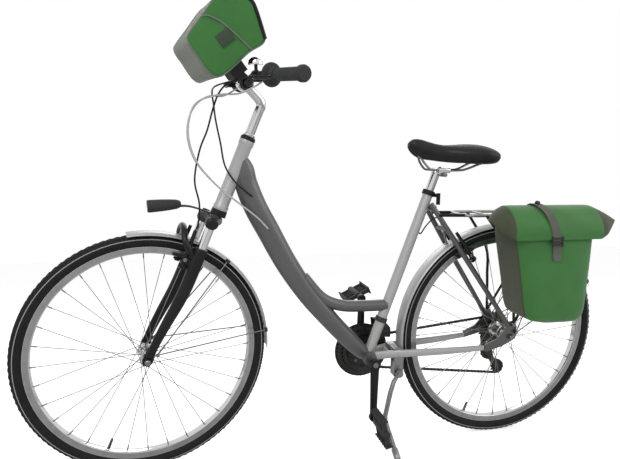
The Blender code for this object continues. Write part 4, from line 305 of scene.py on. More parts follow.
def finish(name):
    """The material of a finish, made once."""
    found = bpy.data.materials.get(name)
    if found:
        return found
    if name == "lamp_glass":
        return lens_glass()
    colour, mark, gloss, metal, coat, patches, grain, bump, kind = FINISHES[name]
    if isinstance(colour, str):
        colour = tuple(getattr(bpy.context.scene.bike_colours, colour))
    made = bpy.data.materials.new(name)
    made.use_nodes = True
    tree = made.node_tree
    shader = tree.nodes["Principled BSDF"]
    shader.inputs["Metallic"].default_value = metal
    shader.inputs["Coat Weight"].default_value = coat
    if not metal:
        shader.inputs["Specular IOR Level"].default_value = PLAIN_SPECULAR
    where = add_node(tree, "TexCoord")
    point = where.outputs["UV" if kind == "cloth" else "Object"]
    mottle = add_node(tree, "Group", {
        "Vector": where.outputs["Object"], "Colour": (*colour, 1.0),
        "Mark Colour": (*[c * mark for c in colour], 1.0), "Patch Scale": patches, "Amount": PATCH_AMOUNT,
        "Gloss Low": gloss[0], "Gloss High": gloss[1], "Grain Scale": grain},
        node_tree=shared_group("mottle", mottle_group))
    height, shade = mottle.outputs["Height"], mottle.outputs["Colour"]
    if kind == "cloth":
        weave = add_node(tree, "Group", {"Vector": point, "Threads": CLOTH_THREADS},
                         node_tree=shared_group("weave", weave_group))
        height = weave.outputs["Height"]
        shade = add_node(tree, "Mix", {0: 1.0, 6: shade, 7: weave.outputs["Shade"]}, data_type="RGBA",
                         blend_type="MULTIPLY").outputs[2]
        shader.inputs["Sheen Weight"].default_value = CLOTH_SHEEN
        shader.inputs["Sheen Roughness"].default_value = CLOTH_SHEEN_SPREAD
    elif kind == "brushed":
        brushed = add_node(tree, "Group", {"Vector": point, "Stretch": STRETCHES[name]},
                           node_tree=shared_group("brushed", brushed_group))
        height = brushed.outputs["Height"]
    lift = add_node(tree, "Bump", {"Strength": bump, "Distance": BUMP_DEPTH, "Height": height})
    tree.links.new(shade, shader.inputs["Base Color"])
    tree.links.new(mottle.outputs["Roughness"], shader.inputs["Roughness"])
    tree.links.new(lift.outputs["Normal"], shader.inputs["Normal"])
    return made


# Shapes

def on_curve(four, t):
    """The point at t, from 0 to 1, on the smooth curve between the middle two of four tuples."""
    return tuple(
        0.5 * (2 * q + (r - p) * t + (2 * p - 5 * q + 4 * r - s) * t * t + (3 * q - p - 3 * r + s) * t ** 3)
        for p, q, r, s in zip(*four))


def smooth_path(points, count):
    """Points at even parameters of a smooth curve through the given tuples of numbers."""
    ends = [points[0]] + list(points) + [points[-1]]
    result = []
    for step in range(count):
        place = step / (count - 1) * (len(points) - 1)
        index = min(int(place), len(points) - 2)
        result.append(on_curve(ends[index:index + 4], place - index))
    return result


def closed_loop(points, count):
    """Points at even parameters round a closed smooth curve."""
    size = len(points)
    result = []
    for step in range(count):
        place = step / count * size
        index = int(place)
        result.append(on_curve([points[(index + k - 1) % size] for k in range(4)], place - index))
    return result


def both_halves(half):
    """A closed outline from one half, whose two ends lie on the line that it is mirrored in."""
    return half + [(a, -b) for a, b in reversed(half[1:-1])]


def unit_circle(sides):
    """A regular outline on the unit circle, with the middle of a side on the first axis."""
    angles = [math.pi / sides + math.tau * k / sides for k in range(sides)]
    return [(math.cos(a), math.sin(a)) for a in angles]


def pair(size):
    return size if isinstance(size, tuple) else (size, size)


class Shape:
    """A piece under construction: closed shells, each with the finish that was in use."""

    def __init__(self, first_finish):
        self.bm = bmesh.new()
        self.finishes = []
        self.use(first_finish)

    def use(self, name):
        if name not in self.finishes:
            self.finishes.append(name)
        self.slot = self.finishes.index(name)
        return self

    def add(self, bm, bevel=0.0, segments=2, corner=30.0):
        """Take a shell in: its faces outwards, its corners eased, in the finish in use."""
        bmesh.ops.recalc_face_normals(bm, faces=bm.faces)
        if bevel:
            edges = [e for e in bm.edges
                     if len(e.link_faces) == 2 and e.calc_face_angle() > math.radians(corner)]
            bmesh.ops.bevel(bm, geom=edges, offset=bevel, segments=segments, profile=0.5, affect="EDGES",
                            material=-1, clamp_overlap=True)
        for face in bm.faces:
            face.material_index = self.slot
        shell = bpy.data.meshes.new("shell")
        bm.to_mesh(shell)
        bm.free()
        self.bm.from_mesh(shell)
        bpy.data.meshes.remove(shell)
        return self

    def turned(self, profile, centre, axis=AXIS_Y, steps=48):
        """A profile of (radius, height) points turned about an axis.

        A profile that starts on the axis also ends there; any other is closed into a ring.
        """
        axis = Vector(axis).normalized()
        out = axis.orthogonal().normalized() if abs(axis.y) < 0.99 else -AXIS_Z
        centre = Vector(centre)
        bm = bmesh.new()
        verts = [bm.verts.new(centre + out * r + axis * h) for r, h in profile]
        edges = [bm.edges.new(two) for two in zip(verts, verts[1:])]
        if profile[0][0] > 0.0:
            edges.append(bm.edges.new((verts[-1], verts[0])))
        bmesh.ops.spin(bm, geom=verts + edges, cent=centre, axis=axis, angle=math.tau, steps=steps,
                       use_merge=True)
        bmesh.ops.remove_doubles(bm, verts=bm.verts, dist=1e-6)
        return self.add(bm)

    def tube(self, path, sizes, sides=20, across=AXIS_Y, outline=None, smooth=0, **kw):
        """A solid along a path: each size is its half size in the path's plane and across it."""
        path = [tuple(p) for p in path]
        sizes = [pair(s) for s in (sizes if isinstance(sizes, list) else [sizes] * len(path))]
        if smooth:
            path, sizes = smooth_path(path, smooth), smooth_path(sizes, smooth)
        path = [Vector(p) for p in path]
        bm = bmesh.new()
        cap = bm.faces.new([bm.verts.new((a, b, 0.0)) for a, b in outline or unit_circle(sides)])
        verts = bm.verts[:]
        last = Matrix.Identity(4)
        for index, point in enumerate(path):
            tangent = (path[min(index + 1, len(path) - 1)] - path[max(index - 1, 0)]).normalized()
            side = (across - tangent * across.dot(tangent)).normalized()
            normal = side.cross(tangent)
            place = Matrix((normal * sizes[index][0], side * sizes[index][1], tangent)).transposed().to_4x4()
            place.translation = point
            if index:
                grown = bmesh.ops.extrude_face_region(bm, geom=[cap])
                if index > 1:
                    bmesh.ops.delete(bm, geom=[cap], context="FACES_ONLY")
                verts = [g for g in grown["geom"] if isinstance(g, bmesh.types.BMVert)]
                cap = next(g for g in grown["geom"] if isinstance(g, bmesh.types.BMFace))
            step = place @ last.inverted()
            for vert in verts:
                vert.co = step @ vert.co
            last = place
        return self.add(bm, **kw)

    def rod(self, start, end, radius, sides=16, end_radius=None, **kw):
        """A straight round rod, tapered if its end radius is given."""
        start, end = Vector(start), Vector(end)
        across = AXIS_Y if abs((end - start).normalized().y) < 0.9 else AXIS_Z
        return self.tube([start, end], [radius, end_radius or radius], sides, across, **kw)

    def pin(self, centre, half, radius, sides=16, **kw):
        """A rod straight across the bike, reaching as far to the left of its centre as to the right."""
        centre = Vector(centre)
        return self.rod(centre - AXIS_Y * half, centre + AXIS_Y * half, radius, sides, **kw)

    def slab(self, outline, near, far, right=AXIS_X, up=AXIS_Z, origin=(0.0, 0.0, 0.0), **kw):
        """A flat plate: an outline drawn along right and up, thick from near to far across them."""
        low, high = sorted((near, far))
        right, up, origin = Vector(right), Vector(up), Vector(origin)
        out = right.cross(up).normalized() * -1.0
        bm = bmesh.new()
        face = bm.faces.new([bm.verts.new(origin + right * a + up * b + out * low) for a, b in outline])
        grown = bmesh.ops.extrude_face_region(bm, geom=[face])
        moved = [g for g in grown["geom"] if isinstance(g, bmesh.types.BMVert)]
        bmesh.ops.translate(bm, verts=moved, vec=out * (high - low))
        return self.add(bm, **kw)

    def box(self, centre, size, right=AXIS_X, up=AXIS_Z, bevel=0.0008, **kw):
        """A box of the given size along right, across and up, with its edges eased."""
        w, d, h = (s / 2 for s in size)
        return self.slab([(-w, -h), (w, -h), (w, h), (-w, h)], -d, d, right, up, centre, bevel=bevel, **kw)

    def done(self, name, place, body, *nodes, sharp=32.0):
        """Close the piece: put it in the world, name its finishes and hang it on its body."""
        mesh = bpy.data.meshes.new(name)
        self.bm.to_mesh(mesh)
        self.bm.free()
        mesh.transform(PLACES[place])
        for label in self.finishes:
            mesh.materials.append(finish(label))
        mesh.shade_smooth()
        mesh.set_sharp_from_angle(angle=math.radians(sharp))
        made = bpy.data.objects.new(name, mesh)
        bpy.context.scene.collection.objects.link(made)
        if body:
            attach(made, body)
        if nodes:
            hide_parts(*nodes)
        return made


class Ring(Shape):
    """Shells that are copied at even steps about the wheel's axis when they are closed into a whole."""

    def __init__(self, whole, centre, count):
        self.whole, self.centre, self.count = whole, Vector(centre), count
        self.bm, self.finishes, self.slot = bmesh.new(), whole.finishes, whole.slot

    def close(self):
        for k in range(self.count):
            shell = bpy.data.meshes.new("shell")
            self.bm.to_mesh(shell)
            turn = Matrix.Rotation(math.tau / self.count * k, 4, AXIS_Y)
            shell.transform(Matrix.Translation(self.centre) @ turn @ Matrix.Translation(-self.centre))
            self.whole.bm.from_mesh(shell)
            bpy.data.meshes.remove(shell)
        self.bm.free()


def loft(shape, rings):
    """A closed shell through rings of points, with flat ends."""
    bm = bmesh.new()
    made = [[bm.verts.new(p) for p in ring] for ring in rings]
    bm.faces.new(made[0])
    bm.faces.new(made[-1])
    for first, second in zip(made, made[1:]):
        for k in range(len(first)):
            j = (k + 1) % len(first)
            bm.faces.new((first[k], first[j], second[j], second[k]))
    shape.add(bm)


def dressed(node, finish_name, ease):
    """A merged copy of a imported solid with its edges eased, in a finish, in place of the solid."""
    source = frame["nodes"][node]
    bm = bmesh.new()
    bm.from_mesh(source.data)
    bmesh.ops.remove_doubles(bm, verts=bm.verts, dist=1e-5)
    bmesh.ops.dissolve_limit(bm, angle_limit=0.01, verts=bm.verts, edges=bm.edges)
    shape = Shape(finish_name).add(bm, bevel=ease, segments=1, corner=50.0)
    shape.done(node + "_skin", "world", source["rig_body"], node)


def cable(name, points, count, width, label, body, places, node):
    """A housing on a smooth curve; each point has its own place, steered or on the frame."""
    path = smooth_path([tuple(PLACES[p] @ Vector(q)) for q, p in zip(points, places)], count)
    across = (Vector(path[-1]) - Vector(path[0])).orthogonal().normalized()
    shape = Shape(label).tube(path, width / 2, 12, across)
    return shape.done(name, "world", body, node)


def box_uv(mesh):
    """Unwrap by the main way each face looks, in metres, so that a weave keeps its scale."""
    layer = mesh.uv_layers.new(name="UVMap")
    for face in mesh.polygons:
        way = max(range(3), key=lambda k: abs(face.normal[k]))
        a, b = [k for k in range(3) if k != way]
        for loop in face.loop_indices:
            point = mesh.vertices[mesh.loops[loop].vertex_index].co
            layer.data[loop].uv = (point[a], point[b])


# Wheels

WHEELS = (("front", FRONT_HUB, "steered", "front_wheel", (-0.034, 0.034), 0.02, (-0.0455, 0.0455), 0.0125),
          ("rear", REAR_HUB, "bike", "rear_wheel", (-0.034, 0.0165), 0.024, (-0.061, 0.0196), 0.015))
TYRE_SIDE = [(0.3172, 0.0124), (0.3205, 0.015), (0.326, 0.0182), (0.3325, 0.02), (0.3395, 0.019),
             (0.3445, 0.016), (0.348, 0.012), (0.3492, 0.006), (0.3494, 0.0)]
TYRE_INSIDE = [(0.3462, 0.0), (0.344, 0.009), (0.333, 0.0168), (0.3172, 0.0094)]
RIM_SIDE = [(0.2968, 0.0), (0.2971, 0.006), (0.2978, 0.0092), (0.2988, 0.0114), (0.2996, 0.0119),
            (0.3168, 0.0119), (0.3171, 0.0112), (0.3168, 0.0102), (0.312, 0.0088), (0.3095, 0.0)]
KNOBS = 112
SPOKES = 16
SPOKE_END = 0.2965
VALVE_ANGLE = -1.95
AXLE_HOLE = 0.0056


def build_tyre(name, centre, place, body, knob):
    shape = Shape("tyre_rubber")
    outline = TYRE_SIDE + [(r, -y) for r, y in reversed(TYRE_SIDE[:-1])]
    outline += [(r, -y) for r, y in reversed(TYRE_INSIDE[1:])] + TYRE_INSIDE
    shape.turned(outline, centre, steps=96)
    half_step = math.pi / KNOBS
    rows = ((0.0048, 0.3498, 0.0, 0.5, 0.0115, 0.0062), (0.0118, 0.3474, half_step, -0.35, 0.01, 0.005))
    for side, start in ((-1, 0.0), (1, half_step)):
        for y, radius, shift, tilt, length, width in rows:
            out = in_plane(start + shift)
            way = Quaternion(out, side * tilt) @ out.cross(AXIS_Y)
            ring = Ring(shape, centre, KNOBS)
            ring.box(centre + out * (radius - 0.0012 + knob / 2) + AXIS_Y * side * y,
                     (length, width, knob + 0.0008), way, out, bevel=0.0)
            ring.close()
    shape.use("stripe")
    for side in (-1, 1):
        shape.turned([(0.3372, side * 0.019), (0.3376, side * 0.02), (0.3394, side * 0.0196),
                      (0.3398, side * 0.0186)], centre, steps=96)
    shape.done(name + "_tyre_look", place, body, name + "_tyre", sharp=50.0)


def build_rim(name, centre, place, body):
    shape = Shape("bright_alloy").turned(both_halves(RIM_SIDE), centre, steps=96)
    shape.use("machined_band")
    for way in (-1, 1):
        shape.turned([(0.3006, way * 0.0116), (0.3006, way * 0.01205), (0.316, way * 0.01205),
                      (0.316, way * 0.0116)], centre, steps=96)
    out = in_plane(VALVE_ANGLE)
    root = centre + out * 0.2975
    shape.use("black_plastic").rod(root, centre + out * 0.266, 0.0042, 16, 0.0036)
    shape.use("chrome").rod(root, centre + out * 0.295, 0.0062, 6)
    shape.done(name + "_rim_look", place, body, name + "_rim")


def build_hub(name, centre, place, body, flanges, radius, ends, barrel, width):
    """A turned hub and its crossed spokes, each with its nipple and its bent end."""
    shape = Shape("bright_alloy")
    left, right = flanges
    low, high = ends
    shape.turned([(AXLE_HOLE, low), (barrel * 0.74, low), (barrel * 0.76, low + 0.006),
                  (barrel, left - 0.0028), (radius - 0.002, left - 0.0023), (radius, left - 0.001),
                  (radius, left + 0.001), (radius - 0.002, left + 0.0023), (barrel * 1.02, left + 0.0042),
                  (barrel * 0.86, left + 0.012), (barrel * 0.86, right - 0.012),
                  (barrel * 1.02, right - 0.0042), (radius - 0.002, right - 0.0023), (radius, right - 0.001),
                  (radius, right + 0.001), (radius - 0.002, min(right + 0.0023, high)),
                  (barrel * 0.74, high), (AXLE_HOLE, high)], centre)
    shape.use("steel")
    step = math.tau / SPOKES
    for index, flange in enumerate(flanges):
        for k in range(SPOKES):
            lead = 1 if k % 2 else -1
            start = (k + 0.5 * index) * step
            foot = centre + in_plane(start) * (radius - 0.003) + AXIS_Y * (flange + lead * 0.0023)
            head = in_plane(start + lead * 3 * step) * SPOKE_END
            head += centre + AXIS_Y * math.copysign(0.0026, flange)
            shape.rod(foot, head, width / 2, 6)
            shape.rod(head.lerp(foot, 0.045), head, 0.002, 6)
            shape.rod(foot - AXIS_Y * lead * 0.0048, foot + AXIS_Y * lead * 0.0008, 0.0016, 6)
    shape.done(name + "_hub_look", place, body, name + "_hub")


def build_axle(name, centre, place, body, spacing, low, high):
    """An axle between the dropouts, with the hub's lock nuts inside them and round ends outside."""
    inside, outside = spacing / 2 - 0.0003, spacing / 2 + 0.0063
    shape = Shape("steel").pin(centre, outside, 0.005, 20)
    for side, near in ((-1, low), (1, high)):
        shape.rod(centre + AXIS_Y * (near + side * 0.0005), centre + AXIS_Y * side * inside, 0.0078, 6)
        shape.turned([(0.0, side * outside), (0.0088, side * outside), (0.009, side * (outside + 0.003)),
                      (0.008, side * (outside + 0.0095)), (0.0055, side * (outside + 0.0115)),
                      (0.0, side * (outside + 0.0118))], centre, steps=28)
    shape.done(name + "_axle_look", place, body, name + "_axle")


def build_wheels(sizes):
    for name, centre, place, body, flanges, radius, ends, barrel in WHEELS:
        build_tyre(name, centre, place, body, sizes.knob_height)
        build_rim(name, centre, place, body)
        build_hub(name, centre, place, body, flanges, radius, ends, barrel, sizes.spoke_width)
    build_axle("front", FRONT_HUB, "steered", "lowers", 0.1, -0.0455, 0.0455)
    build_axle("rear", REAR_HUB, "bike", "frame", 0.135, -0.061, 0.059)


# Drive train

PITCH = 0.0127
CHAIN_Y = 0.0395
GUIDE = (0.451, 0.26)
CAGE_LENGTH = 0.067
CAGE_ANGLE = math.radians(-56.5)
RING_TEETH = ((CHAIN_Y, 24), (0.0465, 34), (0.0535, 42))
COGS = (28, 24, 21, 18, 15, 13, 11)
COG_IN_USE = 3
PULLEY_TEETH = 11
TOOTH = ((-0.16, -0.0034), (0.0, -0.004), (0.16, -0.0034), (0.36, 0.0006), (0.45, 0.0026), (0.55, 0.0026),
         (0.64, 0.0006))
CRANK_LENGTH = 0.17
CRANK_Y = 0.071
PEDAL_Y = 0.1425
SPIDER_ARMS = [math.pi / 4 + math.tau * k / 4 for k in range(4)]


def pitch_radius(teeth):
    return teeth * PITCH / math.tau


def chain_loop(pulleys):
    """The belt round all pulleys as stretches, and its whole length."""
    lines = []
    for first, second in zip(pulleys, pulleys[1:] + pulleys[:1]):
        dx, dz = second[0] - first[0], second[1] - first[1]
        lean = math.asin((second[3] * second[2] - first[3] * first[2]) / math.hypot(dx, dz))
        heading = math.atan2(dz, dx) - lean
        left = (-math.sin(heading), math.cos(heading))
        ends = [(p[0] - p[3] * p[2] * left[0], p[1] - p[3] * p[2] * left[1]) for p in (first, second)]
        lines.append((ends, heading))
    stretches = []
    for k, pulley in enumerate(pulleys):
        (_, enter), came = lines[k - 1]
        (leave, landing), went = lines[k]
        turn = ((went - came) * pulley[3]) % math.tau
        begin = math.atan2(enter[1] - pulley[1], enter[0] - pulley[0])
        stretches.append(("arc", turn * pulley[2], (pulley, begin)))
        stretches.append(("line", math.dist(leave, landing), (leave, landing)))
    return stretches, sum(s[1] for s in stretches)


def cage_turned(angle):
    """The four toothed wheels, each as its middle, radius and sense, with the cage at an angle."""
    tension = (GUIDE[0] + CAGE_LENGTH * math.cos(angle), GUIDE[1] + CAGE_LENGTH * math.sin(angle))
    small = pitch_radius(PULLEY_TEETH)
    return [(BB.x, BB.z, pitch_radius(RING_TEETH[0][1]), 1), (*tension, small, 1), (*GUIDE, small, -1),
            (REAR_HUB.x, REAR_HUB.z, pitch_radius(COGS[COG_IN_USE]), 1)]


def chain_layout():
    """The four toothed wheels with the cage where whole links fit, and each roller's place."""
    links = 2 * round(chain_loop(cage_turned(CAGE_ANGLE))[1] / PITCH / 2)
    low, high = CAGE_ANGLE - 0.5, CAGE_ANGLE + 0.5
    for _ in range(50):
        middle = (low + high) / 2
        if chain_loop(cage_turned(middle))[1] < links * PITCH:
            low = middle
        else:
            high = middle
    pulleys = cage_turned(middle)
    stretches, total = chain_loop(pulleys)
    rollers = []
    for k in range(links):
        rest = k * total / links
        for kind, length, data in stretches:
            if rest <= length:
                break
            rest -= length
        if kind == "arc":
            (x, z, radius, sense), begin = data
            angle = begin + sense * rest / radius
            rollers.append(Vector((x + radius * math.cos(angle), CHAIN_Y, z + radius * math.sin(angle))))
        else:
            (ax, az), (bx, bz) = data
            rollers.append(Vector((ax + (bx - ax) * rest / length, CHAIN_Y, az + (bz - az) * rest / length)))
    return pulleys, rollers


def toothed(shape, centre, y, teeth, start, half=0.0009):
    """A flat toothed wheel: rounded teeth with hollows for the rollers between them."""
    outline = []
    for k in range(teeth):
        for part, rise in TOOTH:
            angle, radius = start + math.tau * (k + part) / teeth, pitch_radius(teeth) + rise
            outline.append((radius * math.cos(angle), radius * math.sin(angle)))
    shape.slab(outline, y - half, y + half, origin=(centre[0], 0.0, centre[1]))


def roller_angle(pulley, rollers):
    """The angle at which a roller lies in a pulley, where a hollow between its teeth has to be."""
    near = min(rollers, key=lambda r: abs(math.hypot(r.x - pulley[0], r.z - pulley[1]) - pulley[2]))
    return math.atan2(near.z - pulley[1], near.x - pulley[0])


def build_chain(rollers):
    """Full links, narrow and wide by turns, each with its roller and its pin."""
    shape = Shape("dark_steel")
    for k, place in enumerate(rollers):
        after = rollers[(k + 1) % len(rollers)]
        ahead, length = (after - place).normalized(), (after - place).length
        low = 0.0028 if k % 2 else 0.002
        waist = [(-0.004, 0.0), (-0.0028, 0.0028), (0.0, 0.004), (length / 2, 0.003), (length, 0.004),
                 (length + 0.0028, 0.0028), (length + 0.004, 0.0)]
        for side in (1, -1):
            shape.slab(both_halves(waist), side * low, side * (low + 0.0007), ahead, -AXIS_Y.cross(ahead),
                       place)
        shape.pin(place, 0.0019, 0.003, 10)
        shape.pin(place, 0.004, 0.0015, 8)
    shape.done("chain_look", "bike", "frame", "chain")


def build_rings(pulleys, rollers):
    shape = Shape("dark_steel")
    for y, teeth in RING_TEETH:
        toothed(shape, (BB.x, BB.z), y, teeth, roller_angle(pulleys[0], rollers) if y == CHAIN_Y else 0.0)
    shape.use("steel")
    for angle in SPIDER_ARMS:
        bolt = BB + in_plane(angle) * 0.0372
        shape.rod(bolt + AXIS_Y * 0.0375, bolt + AXIS_Y * 0.0605, 0.0042, 16)
        shape.rod(bolt + AXIS_Y * 0.0362, bolt + AXIS_Y * 0.0378, 0.0058, 6)
    shape.done("ring_look", "bike", "crankset", "chainrings")
    guard = Shape("smoke_plastic")
    guard.turned([(0.052, 0.0595), (0.052, 0.0603), (0.055, 0.0607), (0.0862, 0.0607), (0.089, 0.0603),
                  (0.0895, 0.0598), (0.089, 0.0588), (0.086, 0.0584), (0.055, 0.0584)], BB, steps=72)
    guard.done("guard_look", "bike", "crankset", "chain_guard")


def build_cogs(pulleys, rollers):
    shape = Shape("dark_steel")
    for index, teeth in enumerate(COGS):
        start = roller_angle(pulleys[3], rollers) if index == COG_IN_USE else 0.2 * index
        toothed(shape, (REAR_HUB.x, REAR_HUB.z), 0.0245 + 0.005 * index, teeth, start)
    shape.use("steel").turned([(AXLE_HOLE, 0.02), (0.0165, 0.02), (0.0165, 0.055), (0.0125, 0.056),
                               (0.0125, 0.059), (AXLE_HOLE, 0.059)], REAR_HUB, steps=36)
    shape.done("cassette_look", "bike", "sprockets", "cassette")
    for name, body, pulley in (("tension_pulley", "lower_pulley", pulleys[1]),
                               ("guide_pulley", "upper_pulley", pulleys[2])):
        shape = Shape("black_plastic")
        toothed(shape, pulley[:2], CHAIN_Y, PULLEY_TEETH, roller_angle(pulley, rollers), 0.0011)
        shape.use("steel").turned([(0.0035, -0.0032), (0.0075, -0.0032), (0.0075, 0.0032), (0.0035, 0.0032)],
                                  (pulley[0], CHAIN_Y, pulley[1]), steps=28)
        shape.done(name + "_look", "bike", body, name)


def build_crank(side, name):
    """An arm with a boss at each end and the pedal's axle; the right one carries the rings' spider."""
    shape = Shape("black_paint")
    low = BB + AXIS_Y * side * CRANK_Y
    high = low + AXIS_Z * side * CRANK_LENGTH
    stations = [(0.0, 0.0165, 0.0072), (0.06, 0.0158, 0.0072), (0.14, 0.0142, 0.007), (0.5, 0.0125, 0.0066),
                (0.9, 0.0112, 0.0062), (1.0, 0.012, 0.0062)]
    shape.tube([low.lerp(high, t) for t, _, _ in stations], [(d, w) for _, d, w in stations], 24, smooth=16)
    shape.pin(low, 0.0085, 0.017, 36, bevel=0.001)
    shape.pin(high, 0.007, 0.013, 32, bevel=0.001)
    if side > 0:
        for angle in SPIDER_ARMS:
            tip = BB + in_plane(angle) * 0.06 + AXIS_Y * 0.0632
            shape.tube([BB + AXIS_Y * 0.0645, tip], [(0.013, 0.0035), (0.0075, 0.0022)], 16)
    shape.use("steel").rod(high, high + AXIS_Y * side * 0.105, 0.0045, 20)
    shape.turned([(0.0, side * 0.0086), (0.0085, side * 0.0086), (0.0085, side * 0.0098),
                  (0.0048, side * 0.0098), (0.0044, side * 0.0088), (0.0, side * 0.0088)], low, steps=28)
    if side > 0:
        shape.rod(BB - AXIS_Y * 0.076, BB + AXIS_Y * 0.068, 0.0085, 24)
    shape.done("crank_" + name + "_look", "bike", "crankset", "crank_" + name)


def build_pedal(side, name, tilt):
    """A toothed cage round a barrel, with a reflector at the front and the back."""
    ahead = Vector((-math.cos(tilt), 0.0, math.sin(tilt)))
    lift = Vector((math.sin(tilt), 0.0, math.cos(tilt)))
    centre = BB + Vector((0.0, side * PEDAL_Y, side * CRANK_LENGTH))
    shape = Shape("black_plastic").pin(centre, 0.045, 0.0112, 28, bevel=0.001)
    teeth = [(-0.044 + 0.088 * k / 12, 0.0098 if k % 2 else 0.0122) for k in range(13)]
    for end in (-1, 1):
        shape.slab(teeth + [(-a, -b) for a, b in teeth], end * 0.0378, end * 0.0428, AXIS_Y, lift, centre,
                   bevel=0.0003, segments=1)
        shape.box(centre + AXIS_Y * end * 0.037, (0.078, 0.0085, 0.0135), ahead, lift, bevel=0.0015)
    for y in (-0.013, 0.0, 0.013):
        shape.box(centre + AXIS_Y * y, (0.078, 0.0036, 0.011), ahead, lift, bevel=0.0006)
    shape.use("amber")
    for end in (-1, 1):
        shape.box(centre + ahead * end * 0.0392, (0.0022, 0.052, 0.008), ahead, lift, bevel=0.0006)
    shape.done("pedal_" + name + "_look", "bike", name + "_pedal", "pedal_" + name)


def build_drive():
    pulleys, rollers = chain_layout()
    build_chain(rollers)
    build_rings(pulleys, rollers)
    build_cogs(pulleys, rollers)
    build_crank(-1, "left")
    build_crank(1, "right")
    build_pedal(-1, "left", math.radians(77.0))
    build_pedal(1, "right", math.radians(-25.0))
    for node in ("front_derailleur", "rear_derailleur"):
        dressed(node, "dark_steel", 0.0007)


# Frame and fork

SEAT_TOP = BB + SEAT_AXIS * 0.558
MAIN_TUBE = [(-0.4, 0.915, 0.014, 0.016), (-0.388, 0.88, 0.026, 0.0205), (-0.383, 0.834, 0.033, 0.022),
             (-0.356, 0.767, 0.034, 0.023), (-0.32, 0.701, 0.034, 0.023), (-0.264, 0.6, 0.033, 0.023),
             (-0.197, 0.5015, 0.031, 0.023), (-0.125, 0.417, 0.0288, 0.023),
             (-0.06, 0.348, 0.0275, 0.023), (-0.022, 0.311, 0.024, 0.022), (-0.003, 0.2945, 0.017, 0.02)]
BRACE_TUBE = [(-0.212, 0.556), (-0.165, 0.5), (-0.13, 0.475), (-0.085, 0.461), (-0.035, 0.457),
              (0.0575, 0.456)]
CHAINSTAY = [(0.018, 0.0235, 0.3, 0.013, 0.00725), (0.055, 0.0285, 0.3035, 0.013, 0.00725),
             (0.085, 0.0355, 0.306, 0.013, 0.00725), (0.11, 0.042, 0.308, 0.01235, 0.00725),
             (0.25, 0.054, 0.3105, 0.01105, 0.0065), (0.37, 0.065, 0.316, 0.0085, 0.0055)]
SEATSTAY = [(0.183, 0.0265, 0.777), (0.291, 0.048, 0.618), (0.45, 0.069, 0.389)]
DROPOUT = [(0.372, 0.305), (0.43, 0.319), (0.452, 0.33), (0.476, 0.342), (0.483, 0.358),
           (0.479, 0.385), (0.468, 0.402), (0.448, 0.399), (0.438, 0.372), (0.414, 0.346),
           (0.372, 0.329)]
HANGER = [(0.448, 0.33), (0.455, 0.306), (0.47, 0.306), (0.476, 0.345)]
DROPOUT_Y = (0.0675, 0.0735)
STAY_WAY = Vector((-0.57, 0.0, 0.8217)).normalized()
STAY_OUT = Vector((STAY_WAY.z, 0.0, -STAY_WAY.x))
BRAKE_BOSS = 0.284
BRAKE_BOSS_Y = 0.0465
REAR_BRAKE_PLANE = 0.027


def build_front_frame():
    """The curved main tube, its brace, the bracket shell, the bored seat tube and the head tube."""
    shape = Shape("frame_paint")
    shape.tube([(x, 0.0, z) for x, z, _, _ in MAIN_TUBE], [(d, w) for _, _, d, w in MAIN_TUBE], 36,
               smooth=70)
    shape.tube([(x, 0.0, z) for x, z in BRACE_TUBE], 0.0182, 32, smooth=36)
    shape.pin(BB, 0.034, 0.021, 40, bevel=0.0012)
    shape.use("silver_paint")
    shape.turned([(0.0, 0.0), (0.0158, 0.0), (0.0158, 0.558), (0.0139, 0.558), (0.0139, 0.39), (0.0, 0.389)],
                 BB, SEAT_AXIS, 36)
    shape.turned([(0.0147, 0.4621), (0.0215, 0.4621), (0.022, 0.464), (0.022, 0.4735), (0.02, 0.4785),
                  (0.02, 0.6573), (0.022, 0.662), (0.022, 0.6718), (0.0215, 0.6737), (0.0147, 0.6737)],
                 STEER_BASE, STEER_AXIS, 40)
    shape.done("frame_tubes", "bike", "frame", "front_frame")


def build_stays():
    stays = Shape("silver_paint")
    for side in (-1, 1):
        stays.tube([(x, side * y, z) for x, y, z, _, _ in CHAINSTAY], [(d, w) for *_, d, w in CHAINSTAY], 24,
                   smooth=30)
    stays.pin((0.064, 0.0, 0.305), 0.03, 0.008, 24)
    stays.done("chainstay_look", "bike", "frame", "chainstays")
    # The seat stays, dropouts and hanger take the dark frame paint instead of the silver of the chainstays;
    # on the seat stays this darkness is partly their own darker paint and partly painted shade.
    back = Shape("frame_paint")
    low, high = DROPOUT_Y
    for side in (-1, 1):
        back.tube([(x, side * y, z) for x, y, z in SEATSTAY], [0.008, 0.0085, 0.0075], 24, smooth=20)
        back.slab(DROPOUT, side * low, side * high, bevel=0.0008)
    back.pin((0.2372, 0.0, 0.6975), 0.036, 0.0075, 24)
    back.slab(HANGER, low, high, bevel=0.0008)
    back.tube([(0.193, -0.03, 0.763), (0.193, 0.03, 0.763)], (0.008, 0.01), 24, SEAT_AXIS)
    back.use("steel")
    for side in (-1, 1):
        boss = REAR_HUB + STAY_WAY * BRAKE_BOSS + STAY_OUT * REAR_BRAKE_PLANE + AXIS_Y * side * BRAKE_BOSS_Y
        back.rod(boss - STAY_OUT * 0.016, boss + STAY_OUT * 0.018, 0.005, 20)
    back.done("seatstay_look", "bike", "frame", "seatstays")


def build_frame():
    build_front_frame()
    build_stays()
    top = Shape("black_paint")
    top.turned([(0.0148, 0.674), (0.0215, 0.674), (0.0218, 0.6752), (0.0218, 0.6815), (0.02, 0.6845),
                (0.018, 0.6865), (0.0148, 0.6865)], STEER_BASE, STEER_AXIS, 40)
    top.done("headset_look", "bike", "frame", "headset_upper")
    dressed("seat_clamp", "black_paint", 0.0006)


